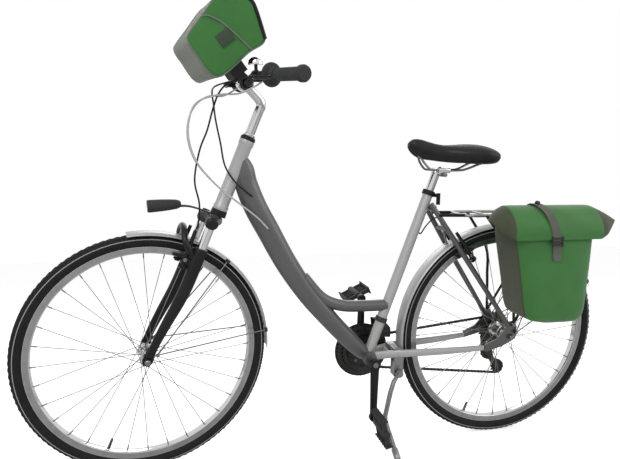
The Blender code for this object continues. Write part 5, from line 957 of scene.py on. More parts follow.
LEG_FORWARD = 0.022
LEG_Y = 0.06
CROWN_HALF = [(0.078, 0.022, 0.422, 0.013, 0.011), (0.074, 0.022, 0.4225, 0.0165, 0.016),
              (0.058, 0.022, 0.4235, 0.0185, 0.0185), (0.03, 0.012, 0.429, 0.0195, 0.0175)]
CROWN_TOP = (0.0, 0.004, 0.431, 0.0225, 0.018)
FORK_LEG = [(0.34, 0.022, 0.018, 0.017), (0.25, 0.022, 0.0178, 0.0166), (0.19, 0.026, 0.0166, 0.0152),
            (0.12, 0.036, 0.0145, 0.0128), (0.06, 0.043, 0.0125, 0.0092), (0.018, 0.045, 0.011, 0.0084)]
LEG_TIP = [(-0.009, -0.014), (0.009, -0.014), (0.015, 0.0), (0.012, 0.04), (-0.012, 0.04), (-0.015, 0.0)]
ARCH_HALF = [(0.061, 0.316, 0.03), (0.0615, 0.333, 0.053), (0.056, 0.352, 0.071), (0.033, 0.375, 0.079)]


def on_leg(along, side):
    """A point in the middle of a stanchion, by its distance along the steering axis."""
    return on_steerer(along, LEG_FORWARD, side * LEG_Y)


def build_fork_crown():
    """The crown with its steerer, and the two stanchions with their caps."""
    upper = Shape("black_paint")
    stations = [(-y, *rest) for y, *rest in CROWN_HALF] + [CROWN_TOP] + CROWN_HALF[::-1]
    upper.tube([on_steerer(a, f, y) for y, f, a, _, _ in stations], [(d, t) for *_, d, t in stations], 28,
               STEER_AXIS, smooth=36)
    upper.turned([(0.0, 0.444), (0.0235, 0.444), (0.0225, 0.4617), (0.0, 0.4617)], STEER_BASE, STEER_AXIS,
                 40)
    upper.use("chrome")
    for side in (-1, 1):
        upper.rod(on_leg(0.272, side), on_leg(0.43, side), 0.0128, 36)
    upper.use("black_plastic")
    for side in (-1, 1):
        upper.rod(on_leg(0.43, side), on_leg(0.4465, side), 0.0125, 28, 0.0105, bevel=0.001)
    upper.use("steel").rod(on_steerer(0.43), on_steerer(0.686), 0.0143, 24)
    upper.done("fork_crown", "steered", "steering", "fork_upper")


def build_fork_legs():
    """The sliding legs with their seals, tips and brake bosses, and the arch that joins them."""
    lowers = Shape("black_paint")
    for side in (-1, 1):
        y = side * LEG_Y
        lowers.tube([on_steerer(a, f, y) for a, f, _, _ in FORK_LEG], [(d, w) for *_, d, w in FORK_LEG], 32,
                    smooth=36)
        lowers.turned([(0.0134, 0.334), (0.0182, 0.334), (0.0186, 0.343), (0.017, 0.3475), (0.0134, 0.3485)],
                      STEER_BASE + STEER_FRONT * LEG_FORWARD + AXIS_Y * y, STEER_AXIS, 36)
        lowers.slab(LEG_TIP, side * 0.05, side * 0.056, -STEER_FRONT, STEER_AXIS, FRONT_HUB, bevel=0.0008)
        boss = FRONT_HUB + STEER_AXIS * BRAKE_BOSS + AXIS_Y * side * BRAKE_BOSS_Y
        lowers.rod(boss - STEER_FRONT * 0.012, boss + STEER_FRONT * 0.018, 0.005, 20)
    path = [on_steerer(a, f, -y) for y, a, f in ARCH_HALF] + [on_steerer(0.385, 0.081)]
    path += [on_steerer(a, f, y) for y, a, f in reversed(ARCH_HALF)]
    lowers.tube(path, 0.0085, 24, STEER_FRONT, smooth=40)
    lowers.done("fork_legs", "steered", "lowers", "fork_lowers")


# Cockpit

BAR_CENTRE = Vector((-0.391, 0.0, 1.1145))
BAR_END = Vector((-0.3225, 0.2935, 1.127))
BAR_INNER = Vector((-0.3795, 0.106, 1.1312))
BAR_BEND = Vector((-0.3865, 0.084, 1.129))
GRIP_WAY = (BAR_END - BAR_INNER).normalized()
LEVER_DISTANCE = 0.156
GRIP_RIBS = 23
TWIST_RIBS = 7


def mirrored(point, side):
    return Vector((point[0], side * point[1], point[2]))


def on_bar(side, distance):
    return mirrored(BAR_END - GRIP_WAY * distance, side)


def bar_way(side):
    return mirrored(GRIP_WAY, side)


def build_bar():
    half = [(BAR_END, 0.0111), (BAR_END - GRIP_WAY * 0.1, 0.0111), (BAR_INNER, 0.0111), (BAR_BEND, 0.0112),
            (Vector((-0.3902, 0.064, 1.1215)), 0.0115), (Vector((-0.391, 0.049, 1.1155)), 0.0122),
            (BAR_CENTRE + AXIS_Y * 0.04, 0.0127)]
    stations = [(mirrored(p, -1), r) for p, r in half] + half[::-1]
    bar = Shape("black_paint").tube([p for p, _ in stations], [r for _, r in stations], 28, AXIS_Z,
                                    smooth=80)
    bar.done("bar_look", "steered", "steering", "handlebar")


def build_stem():
    stem = Shape("bright_alloy")
    path = [on_steerer(0.687), on_steerer(0.7), on_steerer(0.74), on_steerer(0.764), (-0.342, 0.0, 1.056),
            (-0.3445, 0.0, 1.07), (-0.359, 0.0, 1.086), BAR_CENTRE + Vector((0.012, 0.0, -0.01))]
    sizes = [0.0138, 0.0138, 0.0138, 0.0138, (0.0145, 0.014), (0.0145, 0.014), 0.014, 0.014]
    stem.tube(path, sizes, 32, smooth=60)
    stem.turned([(0.0, 0.6865), (0.0172, 0.6865), (0.0176, 0.6885), (0.0172, 0.6925), (0.0142, 0.6945),
                 (0.0, 0.6945)], STEER_BASE, STEER_AXIS, 36)
    stem.turned([(0.013, -0.019), (0.019, -0.019), (0.02, -0.017), (0.02, 0.017), (0.019, 0.019),
                 (0.013, 0.019)], BAR_CENTRE, steps=36)
    stem.done("stem_look", "steered", "steering", "stem")


def build_grip(side, name):
    """A ribbed sleeve, turned from its outer end inwards, with a plug in its end."""
    profile = [(0.0, -0.001), (0.0114, -0.001), (0.0114, 0.108), (0.015, 0.108)]
    for k in reversed(range(GRIP_RIBS)):
        at = 0.0135 + 0.0042 * k
        profile += [(0.0152, at + 0.0032), (0.0166, at + 0.0024), (0.0166, at + 0.0008), (0.0152, at)]
    profile += [(0.0172, 0.0125), (0.0, 0.012)]
    grip = Shape("rubber_grip").turned(profile, on_bar(side, 0.0), -bar_way(side), 36)
    grip.use("black_plastic")
    grip.turned([(0.0, 0.0125), (0.019, 0.0125), (0.0205, 0.0105), (0.0208, 0.001), (0.018, -0.005),
                 (0.0, -0.006)], on_bar(side, 0.0), -bar_way(side), 36)
    grip.done("grip_" + name + "_look", "steered", "steering", "grip_" + name, sharp=50.0)


def build_shifter(side, name):
    profile = [(0.0116, 0.1095), (0.018, 0.1095)]
    for k in range(TWIST_RIBS):
        profile += [(0.0186, 0.1105 + 0.0028 * k), (0.0178, 0.112 + 0.0028 * k)]
    profile += [(0.029, 0.132), (0.0308, 0.1345), (0.0308, 0.1375), (0.029, 0.14), (0.022, 0.144),
                (0.0116, 0.144)]
    twist = Shape("black_plastic").turned(profile, on_bar(side, 0.0), -bar_way(side), 48)
    twist.done("shifter_" + name + "_look", "steered", name + "_shifter", "shifter_" + name)


def build_lever(side, name):
    """A blade that runs in front of the grip, from the pivot in its mount."""
    dressed("lever_mount_" + name, "black_plastic", 0.0008)
    pivot = on_bar(side, LEVER_DISTANCE) + Vector((-0.03, 0.0, -0.01))
    stations = [(0.0, 0.001, 0.0045, 0.0045), (0.022, 0.016, 0.005, 0.0048), (0.055, 0.019, 0.0042, 0.005),
                (0.088, 0.017, 0.0042, 0.0052), (0.1, 0.021, 0.003, 0.004)]
    lever = Shape("black_paint")
    lever.tube([pivot + bar_way(side) * out - AXIS_X * ahead for out, ahead, _, _ in stations],
               [(d, w) for *_, d, w in stations], 20, AXIS_Z, smooth=24)
    lever.rod(pivot - AXIS_Z * 0.0054, pivot + AXIS_Z * 0.0054, 0.0065, 24, bevel=0.0006)
    lever.done("lever_" + name + "_look", "steered", name + "_lever", "brake_lever_" + name)


def build_bell():
    top = Vector((-0.385, -0.0955, 1.16))
    bell = Shape("chrome")
    bell.turned([(0.0, -0.002), (0.0192, -0.002), (0.0205, -0.0005), (0.0203, 0.003), (0.019, 0.0085),
                 (0.016, 0.013), (0.0115, 0.0165), (0.006, 0.0184), (0.0, 0.019)], top, AXIS_Z, 48)
    bell.use("black_plastic").rod(top - Vector((-0.0014, -0.001, 0.0163)), top, 0.0045, 20)
    band = mirrored((BAR_INNER - BAR_BEND).normalized(), -1)
    bell.turned([(0.012, -0.004), (0.0155, -0.004), (0.0155, 0.004), (0.012, 0.004)],
                (-0.383, -0.0945, 1.1302), band, 32)
    bell.done("bell_look", "steered", "steering", "bell")


def build_cockpit():
    build_bar()
    build_stem()
    for side, name in HANDS:
        build_grip(side, name)
        build_shifter(side, name)
        build_lever(side, name)
    build_bell()
    dressed("bag_bracket", "black_plastic", 0.0012)


LAMP_CENTRE = Vector((-0.614, 0.0, 0.779))
LAMP_WAY = Vector((-0.998, 0.0, -0.055)).normalized()


def build_lamp():
    """A lamp body on a bent strip that is bolted to the crown, with its bowl and its glass."""
    lamp = Shape("black_plastic")
    lamp.turned([(0.0, -0.046), (0.006, -0.0455), (0.0095, -0.043), (0.013, -0.034), (0.015, -0.016),
                 (0.0165, 0.006), (0.0173, 0.03), (0.0175, 0.04), (0.0165, 0.045), (0.0145, 0.045),
                 (0.0135, 0.04), (0.0, 0.03)], LAMP_CENTRE, LAMP_WAY, 48)
    root = on_steerer(0.442, 0.025)
    strip = [root, on_steerer(0.444, 0.048), on_steerer(0.44, 0.09),
             LAMP_CENTRE + Vector((0.018, 0.0, -0.004))]
    lamp.tube(strip, [(0.0025, 0.01), (0.0025, 0.009), (0.003, 0.0085), (0.004, 0.0085)], 16, smooth=16)
    lamp.use("steel").rod(root, on_steerer(0.443, 0.033), 0.0055, 6, bevel=0.0005)
    lamp.use("reflector_bowl")
    lamp.turned([(0.0, 0.031), (0.013, 0.04), (0.013, 0.0405), (0.0, 0.0318)], LAMP_CENTRE, LAMP_WAY, 40)
    lamp.use("lamp_glass")
    lamp.turned([(0.0, 0.0424), (0.0142, 0.0424), (0.0142, 0.044), (0.0, 0.0444)], LAMP_CENTRE, LAMP_WAY, 40)
    lamp.done("lamp_look", "steered", "steering", "headlight")


PAD_RADIUS = 0.3034
ARM = [(0.006, 0.0475, 0.0055, 0.0075), (0.03, 0.0495, 0.005, 0.007), (0.062, 0.0475, 0.0045, 0.006),
       (0.104, 0.0405, 0.004, 0.005)]


def build_brake_arm(name, hub, up, out, plane, place, side, hand):
    """One arm on its boss, with its pad against the rim: up and out run along and off the stays."""
    low = plane + 0.0005
    middle = plane + 0.00725
    across = AXIS_Y * side
    arm = Shape("black_paint")
    arm.turned([(0.0054, 0.0), (0.0082, 0.0), (0.009, 0.001), (0.009, 0.0125), (0.0082, 0.0135),
                (0.0054, 0.0135)], hub + up * BRAKE_BOSS + out * low + across * BRAKE_BOSS_Y, out, 28)
    arm.tube([hub + up * (BRAKE_BOSS + along) + out * middle + across * y for along, y, _, _ in ARM],
             [(d, w) for *_, d, w in ARM], 20, out, smooth=20)
    radial = up * math.sqrt(PAD_RADIUS ** 2 - middle ** 2) + out * middle
    pad = hub + radial
    arm.use("steel").rod(pad + across * 0.0196, pad + across * 0.052, 0.0036, 20)
    arm.rod(pad + across * 0.0535, pad + across * 0.058, 0.0062, 6, bevel=0.0005)
    arm.use("brake_rubber").box(pad + across * 0.0178, (0.06, 0.0082, 0.0074),
                                radial.cross(AXIS_Y).normalized(), radial.normalized(), bevel=0.0008)
    arm.done(f"{name}_brake_{hand}_look", place, f"{name}_{hand}_arm", f"{name}_brake_{hand}")


def build_brakes():
    for brake in (("front", FRONT_HUB, STEER_AXIS, STEER_FRONT, 0.0, "steered"),
                  ("rear", REAR_HUB, STAY_WAY, STAY_OUT, REAR_BRAKE_PLANE, "bike")):
        for side, hand in HANDS:
            build_brake_arm(*brake, side, hand)


# Mudguards, rack and stand

GUARD_HALF = [(0.026, -0.006), (0.0235, -0.0026), (0.016, 0.0004)]
GUARD_TOP = 0.0014
GUARD_RADIUS = 0.3576
GUARD_WALL = 0.0014
GUARD_STEPS = 72
FRONT_STAY_FOOT = on_steerer(0.03, 0.028)
# Each guard: its wheel, place and body, its ends and stays in degrees, the stays' foot, and how far out
# its bolts start and its stays lie
GUARDS = (("front", FRONT_HUB, "steered", "lowers", (97.0, -2.0), (49.0, 7.5),
           (FRONT_STAY_FOOT.x, FRONT_STAY_FOOT.z), 0.0655, 0.0675),
          ("rear", REAR_HUB, "bike", "frame", (187.0, 24.0), (62.0, 27.0), (0.4745, 0.3655), 0.0739, 0.081))


def guard_shell(shape, centre, start, end):
    """A thin blade, rounded across, between two angles about its wheel."""
    across = [(-y, d) for y, d in GUARD_HALF] + [(0.0, GUARD_TOP)] + GUARD_HALF[::-1]
    ring = [(GUARD_RADIUS + d, y) for y, d in across]
    ring += [(GUARD_RADIUS - GUARD_WALL + d, y) for y, d in reversed(across)]
    rings = []
    for k in range(GUARD_STEPS + 1):
        way = in_plane(math.radians(start + (end - start) * k / GUARD_STEPS))
        rings.append([centre + way * a + AXIS_Y * y for a, y in ring])
    loft(shape, rings)


def around(centre, degrees, radius, side=0.0):
    """A point at an angle about a wheel's middle."""
    return centre + in_plane(math.radians(degrees)) * radius + AXIS_Y * side


def build_mudguards():
    for name, centre, place, body, span, stays, foot, face, wire in GUARDS:
        shape = Shape("silver_paint")
        guard_shell(shape, centre, *span)
        for degrees in stays:
            out = in_plane(math.radians(degrees))
            for side in (-1, 1):
                clip = around(centre, degrees, 0.3525, side * 0.0262)
                shape.use("steel").rod((foot[0], side * wire, foot[1]), clip, 0.0019, 12)
                shape.use("black_plastic").box(clip, (0.014, 0.0052, 0.0095), AXIS_Y.cross(out), out,
                                               bevel=0.0012)
        shape.use("steel")
        for side in (-1, 1):
            shape.rod((foot[0], side * face, foot[1]), (foot[0], side * (wire + 0.003), foot[1]), 0.0055, 6,
                      bevel=0.0005)
        if name == "front":
            shape.rod(around(centre, 73.5, 0.3562), around(centre, 73.5, 0.3772), 0.0045, 16)
        else:
            shape.rod((0.2572, 0.0, 0.644), (0.2427, 0.0, 0.6895), 0.004, 16)
        shape.done(name + "_guard_look", place, body, name + "_mudguard")


RACK_Z = 0.742
RACK_HALF_WIDTH = 0.058
RACK_BARS = (0.37, 0.45, 0.53, 0.61)
RACK_FOOT = (0.464, 0.392)


def build_rack():
    """The deck's frame and its four bars, with a bent and a straight leg on each side."""
    z, w = RACK_Z, RACK_HALF_WIDTH
    half = [(0.702, 0.012), (0.698, 0.042), (0.678, w), (0.312, w), (0.29, 0.042), (0.286, 0.0)]
    shape = Shape("satin_alloy")
    path = [(x, -y, z) for x, y in half] + [(x, y, z) for x, y in reversed(half[:-1])]
    shape.tube(path, 0.005, 20, AXIS_Z)
    shape.pin((0.7022, 0.0, z), 0.016, 0.0058, 20)
    for x in RACK_BARS:
        shape.pin((x, 0.0, z), w, 0.0035, 16)
    shape.use("black_paint")
    foot_x, foot_z = RACK_FOOT
    for side in (-1, 1):
        shape.tube([(foot_x, side * 0.0795, foot_z), (0.456, side * 0.0775, 0.52),
                    (0.442, side * 0.0735, 0.62), (0.356, side * 0.06, z)], 0.0046, 20, smooth=30)
        shape.tube([(foot_x - 0.001, side * 0.0793, foot_z + 0.001), (0.64, side * 0.062, 0.715),
                    (0.656, side * w, z)], 0.0043, 20)
        shape.tube([(0.295, side * 0.045, z), (0.206, side * 0.042, 0.743)], (0.005, 0.0022), 16)
    shape.use("steel")
    for side in (-1, 1):
        shape.rod((foot_x, side * 0.074, foot_z), (foot_x, side * 0.0845, foot_z), 0.0075, 6, bevel=0.0006)
    shape.done("rack_look", "bike", "frame", "rack")


def build_stand():
    dressed("kickstand_bracket", "satin_alloy", 0.0008)
    dressed("kickstand_leg", "satin_alloy", 0.0006)


# Saddle and post

SADDLE = [(0.113, 0.963, 0.946, 0.01), (0.127, 0.973, 0.932, 0.02), (0.15, 0.973, 0.918, 0.024),
          (0.175, 0.967, 0.912, 0.027), (0.205, 0.96, 0.909, 0.033), (0.235, 0.957, 0.906, 0.045),
          (0.27, 0.9585, 0.9037, 0.067), (0.305, 0.961, 0.9015, 0.084), (0.345, 0.9595, 0.901, 0.094),
          (0.38, 0.951, 0.904, 0.089), (0.395, 0.942, 0.912, 0.076), (0.402, 0.932, 0.92, 0.056)]
SADDLE_SECTION = [(1.0, 0.0), (0.97, 0.34), (0.82, 0.64), (0.5, 0.88), (0.05, 1.0), (-0.6, 0.97),
                  (-1.0, 0.8), (-0.92, 0.45), (-0.72, 0.3), (-0.7, 0.0)]
SADDLE_LENGTH = 0.955
SADDLE_CLAMP = Vector((0.224, 0.0, 0.879))
RAIL_HALF = [(0.345, 0.034, 0.903), (0.33, 0.032, 0.898), (0.296, 0.025, 0.884),
             (0.27, 0.022, 0.88), (0.195, 0.022, 0.88), (0.175, 0.0205, 0.885),
             (0.156, 0.014, 0.907), (0.15, 0.006, 0.9215)]


def build_saddle_cover():
    """The padded cover with a seam along each side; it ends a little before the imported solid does."""
    nose = SADDLE[0][0]
    stations = [(nose + (x - nose) * SADDLE_LENGTH, *rest) for x, *rest in SADDLE]
    section = closed_loop(both_halves(SADDLE_SECTION), 56)
    rings = []
    for x, top, bottom, wide in smooth_path(stations, 52):
        tall, middle = (top - bottom) / 2, (top + bottom) / 2
        rings.append([Vector((x, wide * b, middle + tall * a)) for a, b in section])
    shape = Shape("saddle_cover")
    loft(shape, rings)
    shape.use("saddle_base")
    for side in (-1, 1):
        seam = [(x, side * (wide * 0.985 + 0.0006), bottom + (top - bottom) * 0.3)
                for x, top, bottom, wide in stations[1:-1]]
        shape.tube(seam, 0.0011, 10, AXIS_Z, smooth=60)
    made = shape.done("saddle_look", "bike", "seat", "saddle", sharp=60.0)


def build_saddle():
    build_saddle_cover()
    path = [(x, -y, z) for x, y, z in RAIL_HALF] + [(x, y, z) for x, y, z in reversed(RAIL_HALF)]
    rails = Shape("steel").tube(path, 0.0035, 20, AXIS_Z, smooth=70)
    rails.done("rails_look", "bike", "seat", "saddle_rails")
    post, head = Shape("bright_alloy"), BB + SEAT_AXIS * 0.614
    post.rod(SEAT_TOP - SEAT_AXIS * 0.11, head, 0.0135, 36)
    post.tube([BB + SEAT_AXIS * 0.587, head, SADDLE_CLAMP - Vector((0.001, 0.0, 0.003))],
              [0.011, 0.013, (0.015, 0.017)], 28, smooth=12)
    post.box(SADDLE_CLAMP, (0.04, 0.056, 0.015), bevel=0.003)
    post.use("steel").pin(SADDLE_CLAMP - AXIS_Z * 0.0125, 0.033, 0.0068, 20, bevel=0.0008)
    post.done("post_look", "bike", "seat", "seatpost")


# Bags

BAG_SIDE = [(-0.493, 1.117), (-0.548, 1.174), (-0.566, 1.203), (-0.56, 1.222), (-0.53, 1.264),
            (-0.493, 1.316), (-0.472, 1.329), (-0.445, 1.329), (-0.408, 1.312), (-0.392, 1.288),
            (-0.367, 1.22), (-0.411, 1.183)]
BAG_END = [(0.1235, 0.6), (0.125, 0.9), (0.1242, 0.965), (0.1205, 0.99), (0.11, 0.996), (0.06, 0.992)]
BAG_SEAM = [(-0.533, 1.26), (-0.515, 1.264), (-0.48, 1.25), (-0.445, 1.225), (-0.415, 1.2),
            (-0.402, 1.19)]
BAG_MIDDLE = Vector((sum(x for x, _ in BAG_SIDE) / len(BAG_SIDE), 0.0,
                     sum(z for _, z in BAG_SIDE) / len(BAG_SIDE)))
PANNIER = [(0.53, 0.437, 0.062, 0.052), (0.512, 0.45, 0.09, 0.064), (0.506, 0.48, 0.104, 0.067),
           (0.5, 0.56, 0.114, 0.068), (0.493, 0.64, 0.124, 0.0685), (0.488, 0.7, 0.132, 0.066),
           (0.49, 0.735, 0.14, 0.05), (0.4925, 0.754, 0.145, 0.03)]
PANNIER_Y = -0.159
PANNIER_CORNER = [(1.0, 0.55), (0.93, 0.86), (0.55, 1.0)]
FLAP = [(-0.125, 0.756), (-0.128, 0.772), (-0.15, 0.7835), (-0.18, 0.78), (-0.205, 0.765),
        (-0.225, 0.742), (-0.2345, 0.715), (-0.235, 0.695), (-0.232, 0.69), (-0.226, 0.698),
        (-0.22, 0.72), (-0.19, 0.75), (-0.15, 0.76)]
FLAP_X = 0.4925
FLAP_FOLD = (-0.195, 0.742)
FLAP_EAR = [(0.2075, 0.05), (0.2025, 0.16), (0.1875, 0.42), (0.1675, 0.7), (0.1475, 0.92), (0.1325, 1.0),
            (0.0675, 1.0)]
STRAP = [(0.448, -0.14, 0.78), (0.45, -0.16, 0.7885), (0.456, -0.19, 0.782),
         (0.464, -0.22, 0.758), (0.472, -0.2362, 0.72), (0.478, -0.2368, 0.69),
         (0.485, -0.231, 0.66), (0.49, -0.23, 0.628)]
BUCKLE = (0.479, -0.2392, 0.686)


def sag(point, amount):
    """A small smooth in-and-out of soft cloth at a point."""
    return amount * (math.sin(31.0 * point[0] + 1.7) * math.sin(27.0 * point[2] + 0.4)
                     + 0.5 * math.sin(63.0 * point[2] + 40.0 * point[0] + 9.0 * point[1]))


def paint_faces(shape, label, test):
    """Give the faces that pass a test another finish."""
    shape.use(label)
    shape.bm.normal_update()
    for face in shape.bm.faces:
        if test(face):
            face.material_index = shape.slot


def on_bag(point, side, scale, out):
    """A point of the bar bag's side view, drawn in towards its middle and put at one of its ends."""
    return BAG_MIDDLE + (Vector((point[0], 0.0, point[1])) - BAG_MIDDLE) * scale + AXIS_Y * side * out


def build_bar_bag(sizes):
    outline = closed_loop(BAG_SIDE, 72)
    rings = []
    for y, scale in [(-y, s) for y, s in BAG_END] + [(0.0, 0.99)] + BAG_END[::-1]:
        rings.append([on_bag(p, 1, scale, y + (sag((p[0], 0.0, p[1]), 0.0009) if abs(y) > 0.123 else 0.0))
                      for p in outline])
    shape = Shape("pale_cloth")
    loft(shape, rings)
    paint_faces(shape, "bag_cloth", lambda f: abs(f.normal.y) > 0.75)
    paint_faces(shape, "black_housing", lambda f: f.normal.x > 0.55 and abs(f.normal.y) < 0.6)
    shape.use("piping")
    for side in (-1, 1):
        loop = [on_bag(p, side, 0.986, 0.1222) for p in outline]
        shape.tube(loop + loop[:2], sizes.piping_width / 2, 10, AXIS_Y)
    for side in (-1, 1):
        seam = [on_bag(p, side, 0.985, 0.1252) for p in BAG_SEAM]
        shape.tube(seam, sizes.piping_width * 0.55, 10, AXIS_Y, smooth=40)
    shape.use("black_housing")
    for side in (-1, 1):
        back = [on_bag(p, side, 0.985, 0.1222) for p in BAG_SIDE[7:11]]
        shape.tube(back, 0.0058, 16, AXIS_Y, smooth=36)
    shape.use("bare_patch")
    for side in (-1, 1):
        shape.box(on_bag((-0.472, 1.215), side, 0.985, 0.1248), (0.04, 0.0016, 0.033), (0.78, 0.0, 0.63),
                  (-0.63, 0.0, 0.78), bevel=0.0005)
    bag = shape.done("bar_bag_look", "steered", "steering", "handlebar_bag", sharp=50.0)
    box_uv(bag.data)


def pannier_flap():
    """The rolled top folded over the front, with a pointed ear at each end."""
    fold_y, fold_z = FLAP_FOLD
    section = closed_loop(FLAP, 56)
    ends = [(FLAP_X - d, full) for d, full in FLAP_EAR] + [(FLAP_X, 1.0)]
    ends += [(FLAP_X + d, full) for d, full in reversed(FLAP_EAR)]
    rings = []
    for x, full in smooth_path(ends, 56):
        full = min(max(full, 0.03), 1.0)
        deep = (0.55 + 0.45 * full) * min(1.0, 0.25 + full)
        rings.append([Vector((x, fold_y + (y - fold_y) * deep + sag((x, y, z), 0.001),
                              fold_z + (z - fold_z) * full)) for y, z in section])
    return rings


def pannier_body():
    """Rounded square rings up the bag, with its outer side sagging."""
    half = PANNIER_CORNER + [(-a, b) for a, b in reversed(PANNIER_CORNER)]
    outline = closed_loop(half + [(-a, -b) for a, b in half], 64)
    rings = []
    for x, z, long, deep in smooth_path(PANNIER, 44):
        ring = []
        for a, b in outline:
            point = Vector((x + long * a, PANNIER_Y + deep * b, z))
            if b < 0.0:
                point.y += abs(sag(point, 0.0022)) * (1.0 - abs(a))
            ring.append(point)
        rings.append(ring)
    return rings


def is_ear(face):
    middle = face.calc_center_median()
    return abs(middle.x - FLAP_X) > 0.145 and middle.z > 0.686


def build_pannier(sizes):
    shape = Shape("bag_cloth")
    loft(shape, pannier_body())
    paint_faces(shape, "trim_cloth", lambda f: abs(f.normal.x) > 0.7)
    shape.use("bag_cloth")
    loft(shape, pannier_flap())
    paint_faces(shape, "trim_cloth", is_ear)
    shape.use("webbing")
    width = sizes.strap_width
    shape.tube(STRAP, (0.0012, width / 2), 4, AXIS_X, [(1, 1), (-1, 1), (-1, -1), (1, -1)], smooth=40)
    shape.use("black_plastic")
    x, y, z = BUCKLE
    for rise in (-0.01, 0.0, 0.01):
        shape.box((x, y, z + rise), (width * 1.3, 0.0042, 0.004), bevel=0.0008)
    for side in (-1, 1):
        shape.box((x + side * width * 0.62, y, z), (0.0045, 0.0046, 0.03), bevel=0.001)
    shape.rod((0.452, -0.17, 0.786), (0.451, -0.174, 0.796), 0.008, 28, 0.007, bevel=0.001)
    made = shape.done("pannier_look", "bike", "frame", "pannier", sharp=50.0)
    box_uv(made.data)
    dressed("pannier_hooks", "black_plastic", 0.0008)


# Cables

HOUSING_POINTS = 70
CABLE_SEAT = 0.38875
SHIFT_BAR = [(-0.392, 0.115, 1.102), (-0.43, 0.095, 1.083), (-0.48, 0.069, 1.078)]
SHIFT_FRAME = [(-0.523, 0.056, 1.055), (-0.543, 0.052, 1.01), (-0.544, 0.05, 0.955),
               (-0.521, 0.046, 0.893), (-0.464, 0.04, 0.828), (-0.413, 0.034, 0.787),
               (-0.356, 0.0266, 0.742), (-0.3238, 0.0259, 0.708)]
REAR_BRAKE_BAR = [(-0.413, 0.118, 1.124), (-0.456, 0.088, 1.108), (-0.472, 0.045, 1.088)]
REAR_BRAKE_FRAME = [(-0.474, 0.008, 1.058), (-0.47, -0.008, 1.015), (-0.458, -0.022, 0.95),
                    (-0.446, -0.032, 0.886), (-0.413, -0.031, 0.837), (-0.3701, -0.0253, 0.802)]
FRONT_BRAKE_BEND = Vector((-0.518, -0.012, 0.93))
FRONT_BRAKE = [(-0.413, -0.118, 1.124), (-0.456, -0.09, 1.108), (-0.472, -0.05, 1.085),
               (-0.482, -0.02, 1.045), (-0.497, -0.012, 0.985), FRONT_BRAKE_BEND,
               (-0.533, -0.018, 0.85), (-0.523, -0.032, 0.785)]


def lever_end(side):
    """Where a brake housing leaves its lever's mount, and a point straight off that."""
    at = on_bar(side, LEVER_DISTANCE) + Vector((-0.019, -side * 0.0078, -0.001))
    return [at, at - AXIS_Y * side * 0.008]


def housing_across(name, label, bar_points, frame_points, width, node):
    """A housing from the bar to the frame, on a smooth curve through points on the steered bar and then on
    the frame.
    """
    places = ["steered"] * len(bar_points) + ["bike"] * len(frame_points)
    made = cable(name, bar_points + frame_points, HOUSING_POINTS, width, label, None, places, node)
    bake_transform(made)


def build_cables(sizes):
    width = sizes.housing_width
    for side, name in ((-1, "shift_cable_front"), (1, "shift_cable_rear")):
        shifter = on_bar(side, 0.16525) - AXIS_Z * 0.0141
        upper = [shifter, shifter - bar_way(side) * 0.009] + [mirrored(p, side) for p in SHIFT_BAR]
        lower = [mirrored(p, side) for p in SHIFT_FRAME]
        housing_across(name + "_look", "pale_housing", upper, lower, width, name)
    housing_across("rear_brake_housing", "black_housing", lever_end(1) + REAR_BRAKE_BAR, REAR_BRAKE_FRAME,
                   width, "rear_brake_cable_front")
    seat_side = BB + SEAT_AXIS * 0.4232 + SEAT_BACK * 0.01655
    top = REAR_HUB + STAY_WAY * CABLE_SEAT + STAY_OUT * 0.034 + AXIS_Y * 0.0405
    path = [seat_side, seat_side + SEAT_BACK * 0.008, (0.185, 0.004, 0.706), (0.215, 0.016, 0.726),
            (0.24, 0.032, 0.724), top + STAY_WAY * 0.018, top]
    cable("rear_brake_end", path, 50, 0.0044, "black_housing", "frame", ["bike"] * len(path),
          "rear_brake_cable_rear")
    low = FRONT_HUB + STEER_AXIS * CABLE_SEAT + STEER_FRONT * 0.007 - AXIS_Y * 0.0405
    path = lever_end(-1) + FRONT_BRAKE + [low + STEER_AXIS * 0.022 + STEER_FRONT * 0.001, low]
    made = cable("front_brake_housing", path, 80, width, "black_housing", None, ["steered"] * len(path),
                 "front_brake_cable")
    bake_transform(made)


# Stage

FLOOR_SIZE = 9.0
FLOOR_GLOW = 0.62
WORLD_LIGHT = 0.34
LAMPS = (("key", (-1.8, -2.6, 3.2), (0.0, 0.0, 0.5), 2.2, 62.0),
         ("fill", (2.6, -1.6, 2.0), (0.0, 0.0, 0.5), 2.4, 22.0),
         ("back", (0.4, 2.6, 2.8), (0.0, 0.0, 0.6), 2.4, 40.0))
CAMERA_PLACE = Vector((-0.58413, -1.59439, 0.93209))
CAMERA_YAW, CAMERA_PITCH, CAMERA_ROLL = 0.240509, -0.140269, 0.015952
FOCAL_PIXELS = 555.326
PHOTO_WIDTH = 620.0
SENSOR = 36.0
WHITE = (1.0, 1.0, 1.0, 1.0)


def area_light(name, place, aim, size, power):
    data = bpy.data.lights.new(name, "AREA")
    data.shape, data.size, data.energy = "DISK", size, power
    made = bpy.data.objects.new(name, data)
    turn = (Vector(aim) - Vector(place)).to_track_quat("-Z", "Y")
    made.matrix_world = Matrix.LocRotScale(Vector(place), turn, None)
    bpy.context.scene.collection.objects.link(made)


